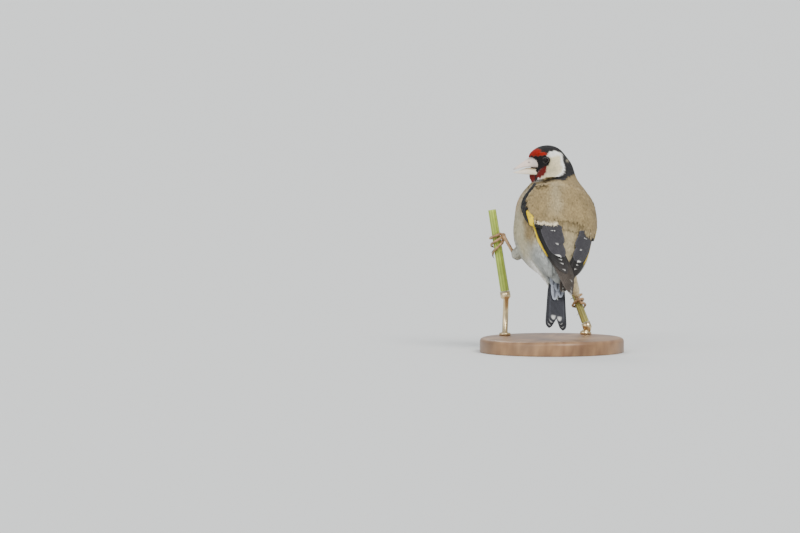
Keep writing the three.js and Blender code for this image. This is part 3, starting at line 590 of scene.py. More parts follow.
SPINE = curve_points(
    [
        tail.at(17, 0, -2.4),
        tail.at(2, 0, -3),
        body.at(-12, 0, AXIS_DROP),
        body.at(4, 0, AXIS_DROP),
        body.at(17, 0, AXIS_DROP),
        HEAD_CENTRE + (0.6, -2.5, -13),
        HEAD_CENTRE + (0.5, 0, -4),
        HEAD_CENTRE + (0, 0, 3),
    ],
    400,
)
SPINE_ALONG = unit(np.gradient(SPINE, axis=0))
CAP_SHARE = 0.13  # the share of the rings that rounds off each end
RINGS, SIDES = 240, 256
NECK = 285  # the spine's point between breast and head
SKIN_SINK, NECK_SINK = 0.1, 1.3
VOXEL = 0.0007  # metres


def skin_grid():
    s = (np.arange(RINGS) + 0.5) / RINGS
    t = np.clip((s - CAP_SHARE) / (1 - 2 * CAP_SHARE), 0, 1) * (len(SPINE) - 1)
    index = np.arange(len(SPINE))
    origin = along_line(t, index, SPINE)[:, None]
    along = unit(along_line(t, index, SPINE_ALONG))[:, None]
    tilt = 90 * DEG * (np.clip((s - 1 + CAP_SHARE) / CAP_SHARE, 0, 1) - np.clip(1 - s / CAP_SHARE, 0, 1))
    tilt = tilt[:, None, None]
    back = unit(body.z - along * dot(body.z, along))
    side = np.cross(back, along)
    out = circle(turns(SIDES), back, side)
    out = out * np.cos(tilt) + along * np.sin(tilt)
    p = origin + out * reach(np.broadcast_to(origin, out.shape), out)[..., None]
    p = p + out * cape_height(p)[..., None]
    across = np.roll(p, -1, axis=1) - np.roll(p, 1, axis=1)
    down = np.gradient(p, axis=0)
    normal = np.cross(across, down)
    size = np.linalg.norm(normal, axis=-1, keepdims=True)
    normal = np.where(size > 1e-6, normal / np.maximum(size, 1e-9), out)
    normal = np.where(dot(normal, out) < 0, -normal, normal)
    return p, unit(normal * 0.9 + out * 0.1), out


GRID, GRID_NORMAL, GRID_OUT = skin_grid()

THIGHS = {
    "left": (body.at(-9, 9, -8), np.array((-19.4, 9.9, 50.0)), 5.4, 3.4),
    "right": (body.at(-10, -8, -8), np.array((13.2, 15, 29.2)), 5.4, 2.7),
}


def thigh_grid(side, rings=40, sides=36):
    hip, ankle, thick, thin = THIGHS[side]
    along = unit(ankle - hip)
    reference = unit(np.cross(along, (1, 0, 0)))
    other = np.cross(along, reference)
    s = (np.arange(rings) + 0.5) / rings
    close = np.clip((s - 0.86) / 0.15, 0, 1)
    radius = mix(thick, thin, smooth(s / 0.9)) * np.sqrt(np.clip(1 - close**2, 0.02, 1))
    out = np.broadcast_to(circle(turns(sides), reference, other), (rings, sides, 3))
    p = hip + (ankle - hip) * s[:, None, None] * 1.02 + out * radius[:, None, None]
    slope = smooth((s - 0.8) / 0.25)[:, None, None]
    return p, unit(out + along * slope * 1.2), along


def skin_piece():
    # At the neck's fold the skin sinks deeper, so that no edge of it stands over the coat.
    neck = smooth((22 - distance(GRID, SPINE[NECK])) / 8)[..., None]
    p = GRID - GRID_NORMAL * COAT - GRID_OUT * (SKIN_SINK + NECK_SINK * neck)
    parts = [capped(p, p[0].mean(0), p[-1].mean(0))]
    for hip, ankle, thick, thin in THIGHS.values():
        steps = np.linspace(0, 1, 14)
        points = hip + (ankle - hip) * steps[:, None]
        parts.append(tube_mesh(points, mix(thick, thin, smooth(steps / 0.9)) - 0.8, 24))
    verts, faces = joined(parts)
    piece = add_mesh("skin", verts, faces)
    remesh = piece.modifiers.new("one", "REMESH")
    remesh.mode = "VOXEL"
    remesh.voxel_size = VOXEL
    remesh.use_smooth_shade = True
    bpy.context.view_layer.update()
    made = bpy.data.meshes.new_from_object(piece.evaluated_get(bpy.context.evaluated_depsgraph_get()))
    piece.modifiers.clear()
    piece.data = made
    co = np.zeros(len(made.vertices) * 3, np.float32)
    made.vertices.foreach_get("co", co)
    # The skin is painted a little darker than the plumage: painted shade in the gaps between the feathers.
    colours = plumage_colour(co.reshape(-1, 3).astype(float) * 1000) * 0.95
    set_tint(made, colours)
    return piece


skin = skin_piece()
dress(skin, "skin", "plumage_body", "head", "neck", "torso", "rump", "thigh_left", "thigh_right")

# The folded wings' chart, as in the CAD part: body x along the bird and the angle from its back.

BEND = [(20, 66), (14.4, 62), (8.7, 76), (3.7, 78), (-5.8, 69), (-11.6, 60.5)]
STRIP = [(x, angle + 2) for x, angle in CAPE_SIDE if x > CAPE_END + 1]
WINGS = {
    "left": {
        "side": 1,
        "tip_lift": 1.5,
        "shorter": 2.2,
        "outer": BEND + [(-20.4, 52), (-28, 40), (-38.5, 17), (-45, 3.3), (-50.5, -10)],
        "inner": STRIP + [(-13.6, 13), (-21, 7.3), (-28.4, 2.6), (-33.8, -4.2), (-40.8, -16.6), (-50.5, -24)],
    },
    "right": {
        "side": -1,
        "tip_lift": -2.2,
        "shorter": 4.6,
        "outer": BEND + [(-20.4, 53), (-28.8, 46), (-35.5, 42), (-40.2, 31), (-45, 24), (-50.5, 20)],
        "inner": STRIP + [(-13.6, 12.5), (-25.4, 8), (-32.4, 8), (-40, 7), (-50.5, 6)],
    },
}
HUG_X = np.linspace(-36, 24, 121)
HUG_ANGLE = np.linspace(-110, 110, 221)
hug_x, hug_angle = np.meshgrid(HUG_X, HUG_ANGLE * DEG, indexing="ij")
HUG = reach(body.at(hug_x, 0, AXIS_DROP), body.along(0, np.sin(hug_angle), np.cos(hug_angle)))


def table_at(table, x, angle):
    i = np.clip((x - HUG_X[0]) / (HUG_X[1] - HUG_X[0]), 0, len(HUG_X) - 1.001)
    j = np.clip((angle - HUG_ANGLE[0]) / (HUG_ANGLE[1] - HUG_ANGLE[0]), 0, len(HUG_ANGLE) - 1.001)
    i0, j0 = i.astype(int), j.astype(int)
    fi, fj = i - i0, j - j0
    top = mix(table[i0, j0], table[i0, j0 + 1], fj)
    return mix(top, mix(table[i0 + 1, j0], table[i0 + 1, j0 + 1], fj), fi)


def wing_point(wing, x, angle, lift):
    signed = angle * wing["side"]
    out = body.along(0, np.sin(signed * DEG), np.cos(signed * DEG))
    hug = np.where(x > -34, table_at(HUG, x, signed), 0)
    free = mix(15.2, 10.6, smooth((-24 - x) / 26)) + wing["tip_lift"] * smooth((-26 - x) / 12)
    soft = 3
    t = np.clip(0.5 + 0.5 * (hug - free) / soft, 0, 1)
    radius = mix(free, hug, t) + soft * t * (1 - t)
    return body.at(x, 0, AXIS_DROP) + out * (radius + lift)[..., None], out, radius


# Vanes: closed thin sheets with a shaft, a camber and a rounded end.

VANE_ROWS, VANE_COLUMNS = 26, 11
VANE_THICK = 0.14


def sheet_from_grid(p, out, thick=VANE_THICK):
    """Closes a grid of points into a thin sheet."""
    rows, columns = p.shape[:2]
    under = p - out * thick
    top = grid_faces(rows, columns)
    n = rows * columns
    low = top[:, ::-1] + n
    i = np.arange(rows - 1) * columns
    left = np.stack([i, i + columns, i + columns + n, i + n], -1)
    right = np.stack([i + columns - 1, i + columns - 1 + n, i + 2 * columns - 1 + n, i + 2 * columns - 1], -1)
    j = np.arange(columns - 1)
    head_end = np.stack([j, j + n, j + 1 + n, j + 1], -1)
    k = (rows - 1) * columns + j
    tip_end = np.stack([k, k + 1, k + 1 + n, k + n], -1)
    faces = np.vstack([top, low, left, right, head_end, tip_end])
    return np.vstack([p.reshape(-1, 3), under.reshape(-1, 3)]), [faces]


def vane_places():
    """Shares along a vane and across it."""
    return np.meshgrid(np.linspace(0, 1, VANE_ROWS) ** 0.9, np.linspace(-1, 1, VANE_COLUMNS), indexing="ij")


def vane_half(s, tip_round):
    """The share of its half width that a vane has along its length."""
    root = mix(0.45, 1, smooth(s / 0.4))
    end = np.clip((s - 1 + tip_round) / tip_round, 0, 1)
    return root * np.sqrt(np.clip(1 - end**2, 0.012, 1))


def vane_camber(c, s):
    """The shaft stands a little proud and the edges curl down."""
    return 0.16 * np.exp(-((c / 0.09) ** 2)) * (1 - 0.7 * s) - 0.14 * c**2


class Sheaf:
    """Collects vanes into one piece."""

    def __init__(self):
        self.parts, self.colours, self.uvs, self.bakes = [], [], [], []

    def add(self, p, out, colour, s, c, bake):
        self.parts.append(sheet_from_grid(p, out))
        flat = colour.reshape(-1, 3)
        # The under side of each vane is painted darker: painted shade.
        self.colours.append(np.vstack([flat, flat * 0.8]))
        uv = np.stack([s.ravel() * 34 + np.abs(c.ravel()) * 5, c.ravel()], -1)
        self.uvs.append(np.vstack([uv, uv]))
        spot = np.array(bake) + 0.0015 * np.stack([c.ravel(), s.ravel() * 2 - 1], -1)
        self.bakes.append(np.vstack([spot, spot]))

    def piece(self, name):
        verts, faces = joined(self.parts)
        uvs, colours, bakes = (np.vstack(rows) for rows in (self.uvs, self.colours, self.bakes))
        return add_mesh(name, verts, faces, uvs, colours, bakes)


def wing_vane(sheaf, wing, root, tip, v_root, v_tip, width, lift, tip_round, paint):
    s, c = vane_places()
    x = mix(root, tip, s)
    v = mix(v_root, v_tip, s)
    outer = mix(line_at(wing["outer"], x), line_at(wing["inner"], x), v)
    _, _, radius = wing_point(wing, x, outer, 0 * x)
    full = width / radius / DEG
    half = (full / 2) * vane_half(s, tip_round)
    angle = outer - full / 2 - half * c
    p, out, _ = wing_point(wing, x, angle, lift + vane_camber(c, s))
    colour = paint(x, angle, s, c)
    bake = (((outer[0, 0] * wing["side"]) % 360) / 360, np.clip(0.5 + root / 120, 0.02, 0.9))
    sheaf.add(p, out, colour, s, c, bake)


YELLOW_BAND = [
    (-1.2, 62.6), (-4.6, 56), (-8.3, 50.5), (-10.2, 53.8), (-13.3, 53.4), (-19.1, 49.2), (-23.1, 44.7),
    (-28.2, 38.4), (-28.6, 43), (-22.8, 51), (-18.8, 57), (-15.3, 61), (-11.6, 64), (-11, 61.5), (-7.7, 61.4),
    (-2.6, 64),
]


def wing_paint(near, far, mark=None, thick=0.6, span=(-1.2, 1.2)):
    """Colours a wing's feather: its ground from root to tip, the yellow band by chart, and the pale mark.
    thick is the mark's depth in millimetres, and span the share of the width that it takes."""

    def paint(x, angle, s, c):
        length = abs(x[-1, 0] - x[0, 0])
        colour = mix(near, far, smooth((-27 - x) / 15)[..., None])
        ripple = 1 + 0.1 * np.sin(2.1 * x + 4 * c) * np.sin(0.7 * x + 9 * c)
        colour = colour * ripple[..., None]
        colour = lay(colour, colour * 1.9 + 0.01, 0.8 * smooth((np.abs(c) - 0.86) / 0.1))
        colour = lay(colour, YELLOW, smooth(chart_distance(x, angle, YELLOW_BAND) / MARK_EDGE + 0.5))
        if mark is not None:
            end = smooth(((s - 1) * length + thick) / 0.25)
            wide = smooth((c - span[0]) / 0.25) * smooth((span[1] - c) / 0.25)
            colour = lay(colour, mark, end * wide)
        return colour

    return paint


LIFT, LIFT_STEP = 0.55, 0.085
PRIMARIES = [  # tip x, side share at the tip, paleness of the mark on the end
    (-47.6, 0.0, 0.3), (-49.8, 0.05, 0.6), (-50.4, 0.16, 0.7), (-48.9, 0.32, 0.6), (-47.1, 0.44, 0.2),
    (-45.2, 0.52, 0), (-43.0, 0.56, 0.5), (-40.8, 0.58, 0), (-38.9, 0.58, 0),
]
SECONDARIES = [(-38.0, 0.1, 0), (-36.7, 0.14, 0.8), (-35.2, 0.18, 0), (-33.4, 0.22, 0.9), (-31.3, 0.26, 0.9)]
TERTIALS = [(-29.8, 0.24, 8.6, 1.1, 1), (-23.3, 0.38, 8.6, 0.7, 0.7), (-16.4, 0.46, 8, 0.6, 1)]
FLIGHT_WEB, OUTER_WEB = (-1.2, 0.5), (-0.95, 0.15)


def pale_mark(share):
    return mix(SLATE, WHITE, share) if share else None


def wing_piece(name):
    wing = WINGS[name]
    sheaf = Sheaf()
    flight = []
    for i, (tip, v, mark) in enumerate(PRIMARIES):
        tip = tip + wing["shorter"] * smooth((-36.0 - tip) / 10)
        paint = wing_paint(COAL, WING_BROWN, pale_mark(mark), 0.4, FLIGHT_WEB)
        flight.append((-9, tip, 0.03 * i, v, 5.4, 0.14, paint))
    for i, (tip, v, mark) in enumerate(SECONDARIES):
        paint = wing_paint(COAL, mix(SLATE, WING_BROWN, 0.5), pale_mark(mark), 0.45, FLIGHT_WEB)
        flight.append((-9, tip, 0.22 + 0.06 * i, v, 6.8, 0.2, paint))
    for tip, v, width, thick, mark in TERTIALS:
        # The tertials' lighter blue-grey is painted sheen over their black.
        paint = wing_paint(TERTIAL_BLACK_AND_SHEEN, TERTIAL_BLACK_AND_SHEEN, pale_mark(mark), thick, OUTER_WEB)
        flight.append((-8, tip, v + 0.06, v, width, 0.26, paint))
    for order, (root, tip, v_root, v_tip, width, tip_round, paint) in enumerate(flight):
        wing_vane(sheaf, wing, root, tip, v_root, v_tip, width, LIFT + LIFT_STEP * order, tip_round, paint)
    # Coverts of the primaries, then the greater ones with their pale ends, then rows of small ones.
    for i in range(7):
        v = 0.02 + 0.035 * i
        wing_vane(sheaf, wing, 2 - i, -11 - 0.6 * i, v, v, 3.0, 1.5 + 0.06 * i, 0.3, wing_paint(COAL, COAL))
    for i in range(9):
        v = 0.1 + 0.085 * i
        paint = wing_paint(COAL, COAL, PALE_CREAM, 0.9)
        wing_vane(sheaf, wing, -2, -12, v, v, 3.4, 1.7 + 0.05 * i, 0.3, paint)
    for row in range(6):
        for i in range(7) if row else (2, 3, 4):
            root = 16 - 3.2 * row
            v = -0.05 + (0.16 - 0.03 * max(0, 2 - row)) * i
            lift = 1.25 + 0.1 * (5 - row) + 0.03 * i
            wing_vane(sheaf, wing, root, root - 5.4, v, v, 2.9, lift, 0.4, wing_paint(COAL, COAL))
    piece = sheaf.piece("feathers_wing_" + name)
    dress(piece, "flight", "wing_feathers", "wing_" + name)


for wing_name in WINGS:
    wing_piece(wing_name)

# Tail: twelve feathers in a closed, notched stack.

TAIL_LENGTH = np.linalg.norm(TAIL_TIP - TAIL_BASE)
TAIL_PAIRS = 6


def tail_vane(sheaf, root, tip, side_root, side_tip, width, lift, lift_tip, tip_round, paint):
    s, c = vane_places()
    half = (width / 2) * vane_half(s, tip_round)
    z = mix(lift, lift_tip, s) + vane_camber(c, s)
    p = tail.at(mix(root, tip, s), mix(side_root, side_tip, s) + half * c, z)
    out = np.broadcast_to(tail.z, p.shape)
    sheaf.add(p, out, paint(s, c), s, c, (0.5 + side_tip / 60, 0.03 + 0.01 * abs(lift)))


def tail_paint(base, bright):
    def paint(s, c):
        colour = np.broadcast_to(base, s.shape + (3,)) * (1 + 0.12 * np.sin(41 * s + 4 * c))[..., None]
        colour = lay(colour, base * 2 + 0.015, 0.8 * smooth((np.abs(c) - 0.82) / 0.15))
        spot = np.exp(-((((s - 1) * 40 + 2.2) / 0.9) ** 4) - ((c - 0.1) / 0.55) ** 4)
        return lay(colour, WHITE, spot * bright)

    return paint


def covert_paint(pale, dark):
    def paint(s, c):
        ripple = 0.92 + 0.16 * s + 0.05 * np.sin(9 * c + 5 * s)
        colour = np.broadcast_to(pale, s.shape + (3,)) * ripple[..., None]
        centre = np.exp(-((c / (0.5 - 0.2 * s)) ** 2)) * smooth((s - 0.45) / 0.2) * smooth((0.97 - s) / 0.05)
        return lay(colour, dark, centre * 0.9)

    return paint


UPPER_COVERTS = [  # tip along the tail, its side, how far it stands over the vanes
    (28, 1.5, 0.2), (26, -1.7, 0.35), (22.5, 0.1, 0.6), (20, 2.4, 0.55), (19, -2.5, 0.6), (15.5, 1.2, 0.95),
    (14.5, -1.3, 1.0),
]


def tail_piece():
    sheaf = Sheaf()
    last = TAIL_PAIRS - 1
    for i in range(last, -1, -1):
        for side in (-1, 1):
            tip = TAIL_LENGTH - 1.2 - 4.2 * (1 - i / last) - (0 if side < 0 else 0.5)
            paint = tail_paint(BLUE_BLACK * (1.1 if i < 2 else 0.6), (1, 0, 0.9, 0, 0.8, 0)[i])
            tail_vane(
                sheaf, 6, tip, side * (0.7 + 0.22 * i), side * (1.7 + 0.4 * i), 4.4,
                -2.2 - 0.24 * i, -0.2 - 0.26 * i, 0.12, paint,
            )
    paint = covert_paint(COVERT_BLUE, BLUE_BLACK)
    for tip, side, lift in UPPER_COVERTS:
        tail_vane(sheaf, 3, tip, side * 0.6, side, 4.4, lift, lift, 0.35, paint)
    for tip, side in ((28.5, 1.6), (25, -1.4), (22, 0.4)):
        tail_vane(sheaf, 4, tip, side * 0.5, side, 4.8, -4.4, -3.6, 0.35, covert_paint(WHITE, WHITE * 0.8))
    dress(sheaf.piece("feathers_tail"), "flight", "tail_feathers", "tail")


tail_piece()

# Coat: small feathers with parted ends, rooted on the skin and laid along the bird.


def lie_at(p, normal):
    away = unit(p - head.at(10.5, 0, 0.6))
    near = smooth((25 - distance(p, HEAD_CENTRE)) / 12)[..., None]
    behind = smooth((tail.of(p)[..., 0] + 3) / 12)[..., None]
    down = mix(-body.x, tail.x, behind)
    way = away * near + down * (1 - 0.55 * near)
    return unit(way - normal * dot(way, normal))


def size_at(p):
    """Length and width of the coat's feathers at points."""
    q = head.of(p)
    face = smooth((q[..., 0] - 4) / 5)
    head_share = smooth((24 - distance(p, HEAD_CENTRE)) / 9)
    x, angle = chart(p)
    rear = smooth((-10 - x) / 14)
    length = mix(5.2, 2.1, head_share) - 0.85 * face * head_share + 1.4 * rear * (1 - head_share)
    width = mix(1.35, 0.56, head_share) - 0.12 * face * head_share
    # The mantle's last feathers end at its edge over the wings.
    left = np.interp(angle, (0, 28, 46, 53, 58, 63, 66), (-13.2, -12.8, -11.6, -10.4, -6.5, 0, 6))
    right = np.interp(-angle, (0, 24, 40, 53, 60, 66), (-13.4, -14.4, -15.9, -14, -7, 6))
    edge = np.where(angle > 0, left, right)
    over = (np.abs(angle) > 13) & (np.abs(angle) < 66) & (x > edge) & (x < 20)
    return np.where(over, np.minimum(length, np.maximum(1.7, x - edge + 0.9)), length), width


def under_wing(p):
    """How deep under a folded wing points lie, as millimetres from its edges."""
    x, angle = chart(p)
    deep = np.zeros(x.shape)
    for wing in WINGS.values():
        signed = angle * wing["side"]
        outer, inner = line_at(wing["outer"], x), line_at(wing["inner"], x)
        inside = np.minimum(outer - signed, signed - inner) * DEG * CAPE_RADIUS
        deep = np.maximum(deep, np.minimum(inside, np.minimum(x + 50, 18 - x)))
    return deep


def grid_samples(p, density, keep):
    """Even, slightly random places on a grid of points, by density a square millimetre."""
    rows, columns = p.shape[:2]
    nxt = np.roll(p, -1, axis=1)
    area = np.linalg.norm(np.cross(nxt[:-1] - p[:-1], p[1:] - p[:-1]), axis=-1)
    weight = area * density[:-1] * keep[:-1]
    found = []
    carry = 0.0
    for i in range(rows - 1):
        run = np.concatenate([[0], np.cumsum(weight[i])])
        total = run[-1] + carry
        count = int(total)
        carry = total - count
        if not count:
            continue
        shift = rng.uniform(0, 1)
        spots = (np.arange(count) + shift + rng.uniform(-0.3, 0.3, count)) % count / count * run[-1]
        across = np.interp(spots, run, np.arange(columns + 1))
        found.append(np.stack([i + rng.uniform(0, 1, count), across], -1))
    return np.vstack(found) if found else np.zeros((0, 2))


def grid_at(table, places):
    i0 = np.clip(places[:, 0].astype(int), 0, table.shape[0] - 2)
    j0 = places[:, 1].astype(int) % table.shape[1]
    j1 = (j0 + 1) % table.shape[1]
    fi, fj = (places[:, 0] - i0)[:, None], (places[:, 1] - np.floor(places[:, 1]))[:, None]
    return mix(mix(table[i0, j0], table[i0, j1], fj), mix(table[i0 + 1, j0], table[i0 + 1, j1], fj), fi)


RAGGED = 0.1  # how unevenly a coat feather's strips end
YAW = 7 * DEG


def coat_mesh(name, root, normal, lie, length, width, rise, bake, strips, rows):
    """One piece of coat. Each feather is a bent leaf whose end parts into pointed strips."""
    n = len(root)
    yaw = rng.normal(0, YAW, n)[:, None]
    side = np.cross(normal, lie)
    lie = unit(lie * np.cos(yaw) + side * np.sin(yaw))
    side = np.cross(normal, lie)
    length = (length * rng.uniform(0.82, 1.15, n))[:, None, None]
    width = (width * rng.uniform(0.85, 1.15, n))[:, None, None]
    depth = plumage(root)
    ahead = root + lie * length[:, 0]
    drop = (plumage(ahead) - depth)[:, None, None] / length**2
    beside = root + side * width[:, 0] * 0.5
    bow = np.clip(plumage(beside) - depth, 0, 1)[:, None, None] + 0.06 * width

    t = np.linspace(0, 1, rows)[None, :, None]
    c = np.linspace(-1, 1, strips + 1)[None, None, :]
    t = t * (0.74 - 0.16 * c**2)
    middle = (c[..., 1:] + c[..., :-1]) / 2
    tip_t = 1 - 0.26 * middle**2 + rng.uniform(-RAGGED, RAGGED, (n, 1, strips))
    t = np.broadcast_to(t, (n, rows, strips + 1)).reshape(n, -1)
    c = np.broadcast_to(c, (n, rows, strips + 1)).reshape(n, -1)
    t = np.concatenate([t, tip_t.reshape(n, -1)], 1)
    c = np.concatenate([c, np.broadcast_to(middle, (n, 1, strips)).reshape(n, -1)], 1)
    shape = mix(0.3, 1, smooth(t / 0.5)) * (1 - 0.25 * smooth((t - 0.7) / 0.4))
    run = t * length[:, 0]
    across = c * shape * width[:, 0] / 2
    lifted = rise[:, None] * np.sin(np.clip(t, 0, 1) * np.pi * 0.62) / np.sin(np.pi * 0.62)
    height = lifted - drop[:, 0] * run**2 - bow[:, 0] * c**2 * shape**2
    nape = smooth((24 - np.abs(chart(root)[1])) / 8)
    step = (nape * np.maximum(cape_height(root) - cape_height(ahead), 0))[:, None]
    height = height - step * smooth(t * 1.4)
    height = height + rng.uniform(-0.04, 0.04, (n, 1))
    height = height + 0.03 * rng.normal(size=t.shape) * smooth((t - 0.5) / 0.4)
    p = root[:, None] + lie[:, None] * run[..., None] + side[:, None] * across[..., None]
    p = p + normal[:, None] * height[..., None]

    near = plumage_colour(root + lie * length[:, 0] * 0.45)
    far = plumage_colour(root + lie * length[:, 0] * 0.9)
    colour = mix(near[:, None], far[:, None], smooth((t - 0.3) / 0.6)[..., None])
    tone = rng.normal(1, 0.06, (n, 1)) * (1 + 0.05 * rng.normal(size=t.shape))
    # Painted shade: each feather darkens towards its root, where the feathers over it shade it.
    tone = tone * mix(0.93, 1.0, smooth(t / 0.75))
    colour = colour * tone[..., None]

    per = rows * (strips + 1) + strips
    one = grid_faces(rows, strips + 1)
    last = (rows - 1) * (strips + 1)
    j = np.arange(strips)
    ends = np.stack([last + j, last + j + 1, rows * (strips + 1) + j], -1)
    start = (np.arange(n) * per)[:, None, None]
    quads = (one[None] + start).reshape(-1, 4)
    tris = (ends[None] + start).reshape(-1, 3)
    spots = bake[:, None] + 0.0015 * np.stack([c, t * 2 - 1], -1)
    uvs = np.stack([t * 4, c], -1)
    return add_mesh(
        name, p.reshape(-1, 3), [quads, tris], colours=colour.reshape(-1, 3),
        uvs=uvs.reshape(-1, 2), bake=np.clip(spots, 0, 1).reshape(-1, 2),
    )


BILL = {"base": 7.6, "tip": 21.1, "half": 4.0}


def culmen(s):
    return 0.35 + 6.7 * (1 - s) ** 0.86 - 0.45 * s


def chin(s):
    return -1.75 - 2.9 * (1 - s) ** 0.72


def face_room(p):
    """Leaves room for the eyes and the bill."""
    q = head.of(p)
    eye = np.hypot((q[..., 0] - 3.1) * 0.92, q[..., 2] - 2.6)
    s = np.clip((q[..., 0] - BILL["base"]) / (BILL["tip"] - BILL["base"]), 0, 1)
    half = BILL["half"] * (1 - s) ** 0.82
    middle, tall = (culmen(s) + chin(s)) / 2, (culmen(s) - chin(s)) / 2
    bill = (q[..., 1] / np.maximum(half, 0.1)) ** 2 + ((q[..., 2] - middle) / tall) ** 2
    return (eye > 1.95) & ~((s > 0) & (bill < 0.96))


DENSITY, HEAD_DENSITY, FOLD_DENSITY = 6.2, 0.7, 3  # how many feathers lie over a point
HEAD_FEATHER, BODY_FEATHER = (4, 4), (6, 5)  # strips and rows of a coat feather
FACE_BACK, HEAD_LOW, HEAD_REACH = 2, -10, 17  # the head's limits in its frame
BACK_ANGLE, RUMP_X, BREAST_X = 72, -13, 4  # the body's limits on its chart


def coat_pieces():
    length, width = size_at(GRID)
    deep = under_wing(GRID)
    hidden = (deep > 1.6) & (cape_height(GRID) < CAPE * 0.35)
    tail_end = (tail.of(GRID)[..., 0] > 12) & (GRID_NORMAL @ tail.x > 0.3)
    keep = face_room(GRID) & ~hidden & ~tail_end
    near_head = distance(GRID, HEAD_CENTRE)
    fold = smooth((19 - distance(GRID, SPINE[NECK])) / 5)
    density = DENSITY + HEAD_DENSITY * smooth((22 - near_head) / 6) + FOLD_DENSITY * fold
    density = density / (length * width * 0.62)
    q = head.of(GRID)
    x, angle = chart(GRID)
    on_head = (q[..., 2] > HEAD_LOW) & (near_head < HEAD_REACH)
    face = on_head & (q[..., 0] > FACE_BACK)
    back = ~on_head & (np.abs(angle) < BACK_ANGLE)
    front = ~on_head & ~(np.abs(angle) < BACK_ANGLE)
    mantle, breast, belly = back & (x > RUMP_X), front & (x > BREAST_X), front & (x <= BREAST_X)
    left = angle > 0
    regions = (
        ("face_left", face & (q[..., 1] > 0), "plumage_head", HEAD_FEATHER),
        ("face_right", face & (q[..., 1] <= 0), "plumage_head", HEAD_FEATHER),
        ("crown", on_head & ~face, "plumage_head", HEAD_FEATHER),
        ("mantle_left", mantle & left, "plumage_body", BODY_FEATHER),
        ("mantle_right", mantle & ~left, "plumage_body", BODY_FEATHER),
        ("rump", back & (x <= RUMP_X), "plumage_pale", BODY_FEATHER),
        ("breast_left", breast & left, "plumage_pale", BODY_FEATHER),
        ("breast_right", breast & ~left, "plumage_pale", BODY_FEATHER),
        ("belly_left", belly & left, "plumage_pale", BODY_FEATHER),
        ("belly_right", belly & ~left, "plumage_pale", BODY_FEATHER),
    )
    for name, where, slot, (strips, rows) in regions:
        places = grid_samples(GRID, density, keep & where)
        surface = grid_at(GRID, places)
        normal = unit(grid_at(GRID_NORMAL, places))
        lie = lie_at(surface, normal)
        root = surface - normal * (COAT + 0.15)
        covered = smooth(under_wing(surface) / 1.2) * (cape_height(surface) < CAPE * 0.35)
        rise = (COAT + 0.25) * (1 - 0.6 * covered) * rng.uniform(0.93, 1.06, len(places))
        bake = np.stack([(places[:, 1] / SIDES) % 1, 0.01 + 0.9 * places[:, 0] / RINGS], -1)
        sizes = size_at(surface)
        piece = coat_mesh("coat_" + name, root, normal, lie, *sizes, rise, bake, strips, rows)
        dress(piece, "coat", slot)


coat_pieces()


THIGH_DENSITY = 3.4  # feathers a square millimetre


def thigh_coats():
    for number, side in enumerate(THIGHS):
        p, normal, along = thigh_grid(side)
        outside = plumage(p) > -1.5
        places = grid_samples(p, np.full(p.shape[:2], THIGH_DENSITY), outside)
        surface, way = grid_at(p, places), unit(grid_at(normal, places))
        lie = unit(along - way * dot(along, way) * 0.8)
        n = len(places)
        bake_x = places[:, 1] / p.shape[1] * 0.4 + 0.5 * number
        bake = np.stack([bake_x, 0.93 + 0.06 * places[:, 0] / p.shape[0]], -1)
        piece = coat_mesh(
            "coat_thigh_" + side, surface - way * 0.5, way, lie, np.full(n, 3.2), np.full(n, 0.8),
            rng.uniform(0.5, 1.1, n), bake, 6, 4,
        )
        dress(piece, "coat", "plumage_pale")


thigh_coats()

# Head: eyes with lids, and the bill.

EYE = {"forward": 2.4, "side": 5.2, "up": 2.55, "radius": 2.35}


def eye_places():
    for side in (1, -1):
        yield side, head.at(EYE["forward"], side * EYE["side"], EYE["up"]), unit(head.along(0.47, side, 0.03))


def ball_mesh(centre, axis, radius, rings=24, sides=48):
    """A ball whose pole lies along an axis, with each point's angle from the pole."""
    reference = unit(np.cross(axis, (0.1, 0.2, 1)))
    other = np.cross(axis, reference)
    fall = np.linspace(0.02, np.pi - 0.02, rings)
    ring = circle(turns(sides), reference, other)
    p = centre + radius * (np.cos(fall)[:, None, None] * axis + np.sin(fall)[:, None, None] * ring)
    verts, faces = capped(p, centre + axis * radius, centre - axis * radius)
    return verts, faces, np.concatenate([np.repeat(fall, sides), [0, np.pi]])


LID = {"wide": 1.6, "tall": 1.5, "thick": 0.2, "steps": 72, "sides": 12}
PUPIL, IRIS = rgb(0.004, 0.003, 0.003), rgb(0.018, 0.009, 0.005)
LID_GREY = rgb(0.05, 0.046, 0.043)


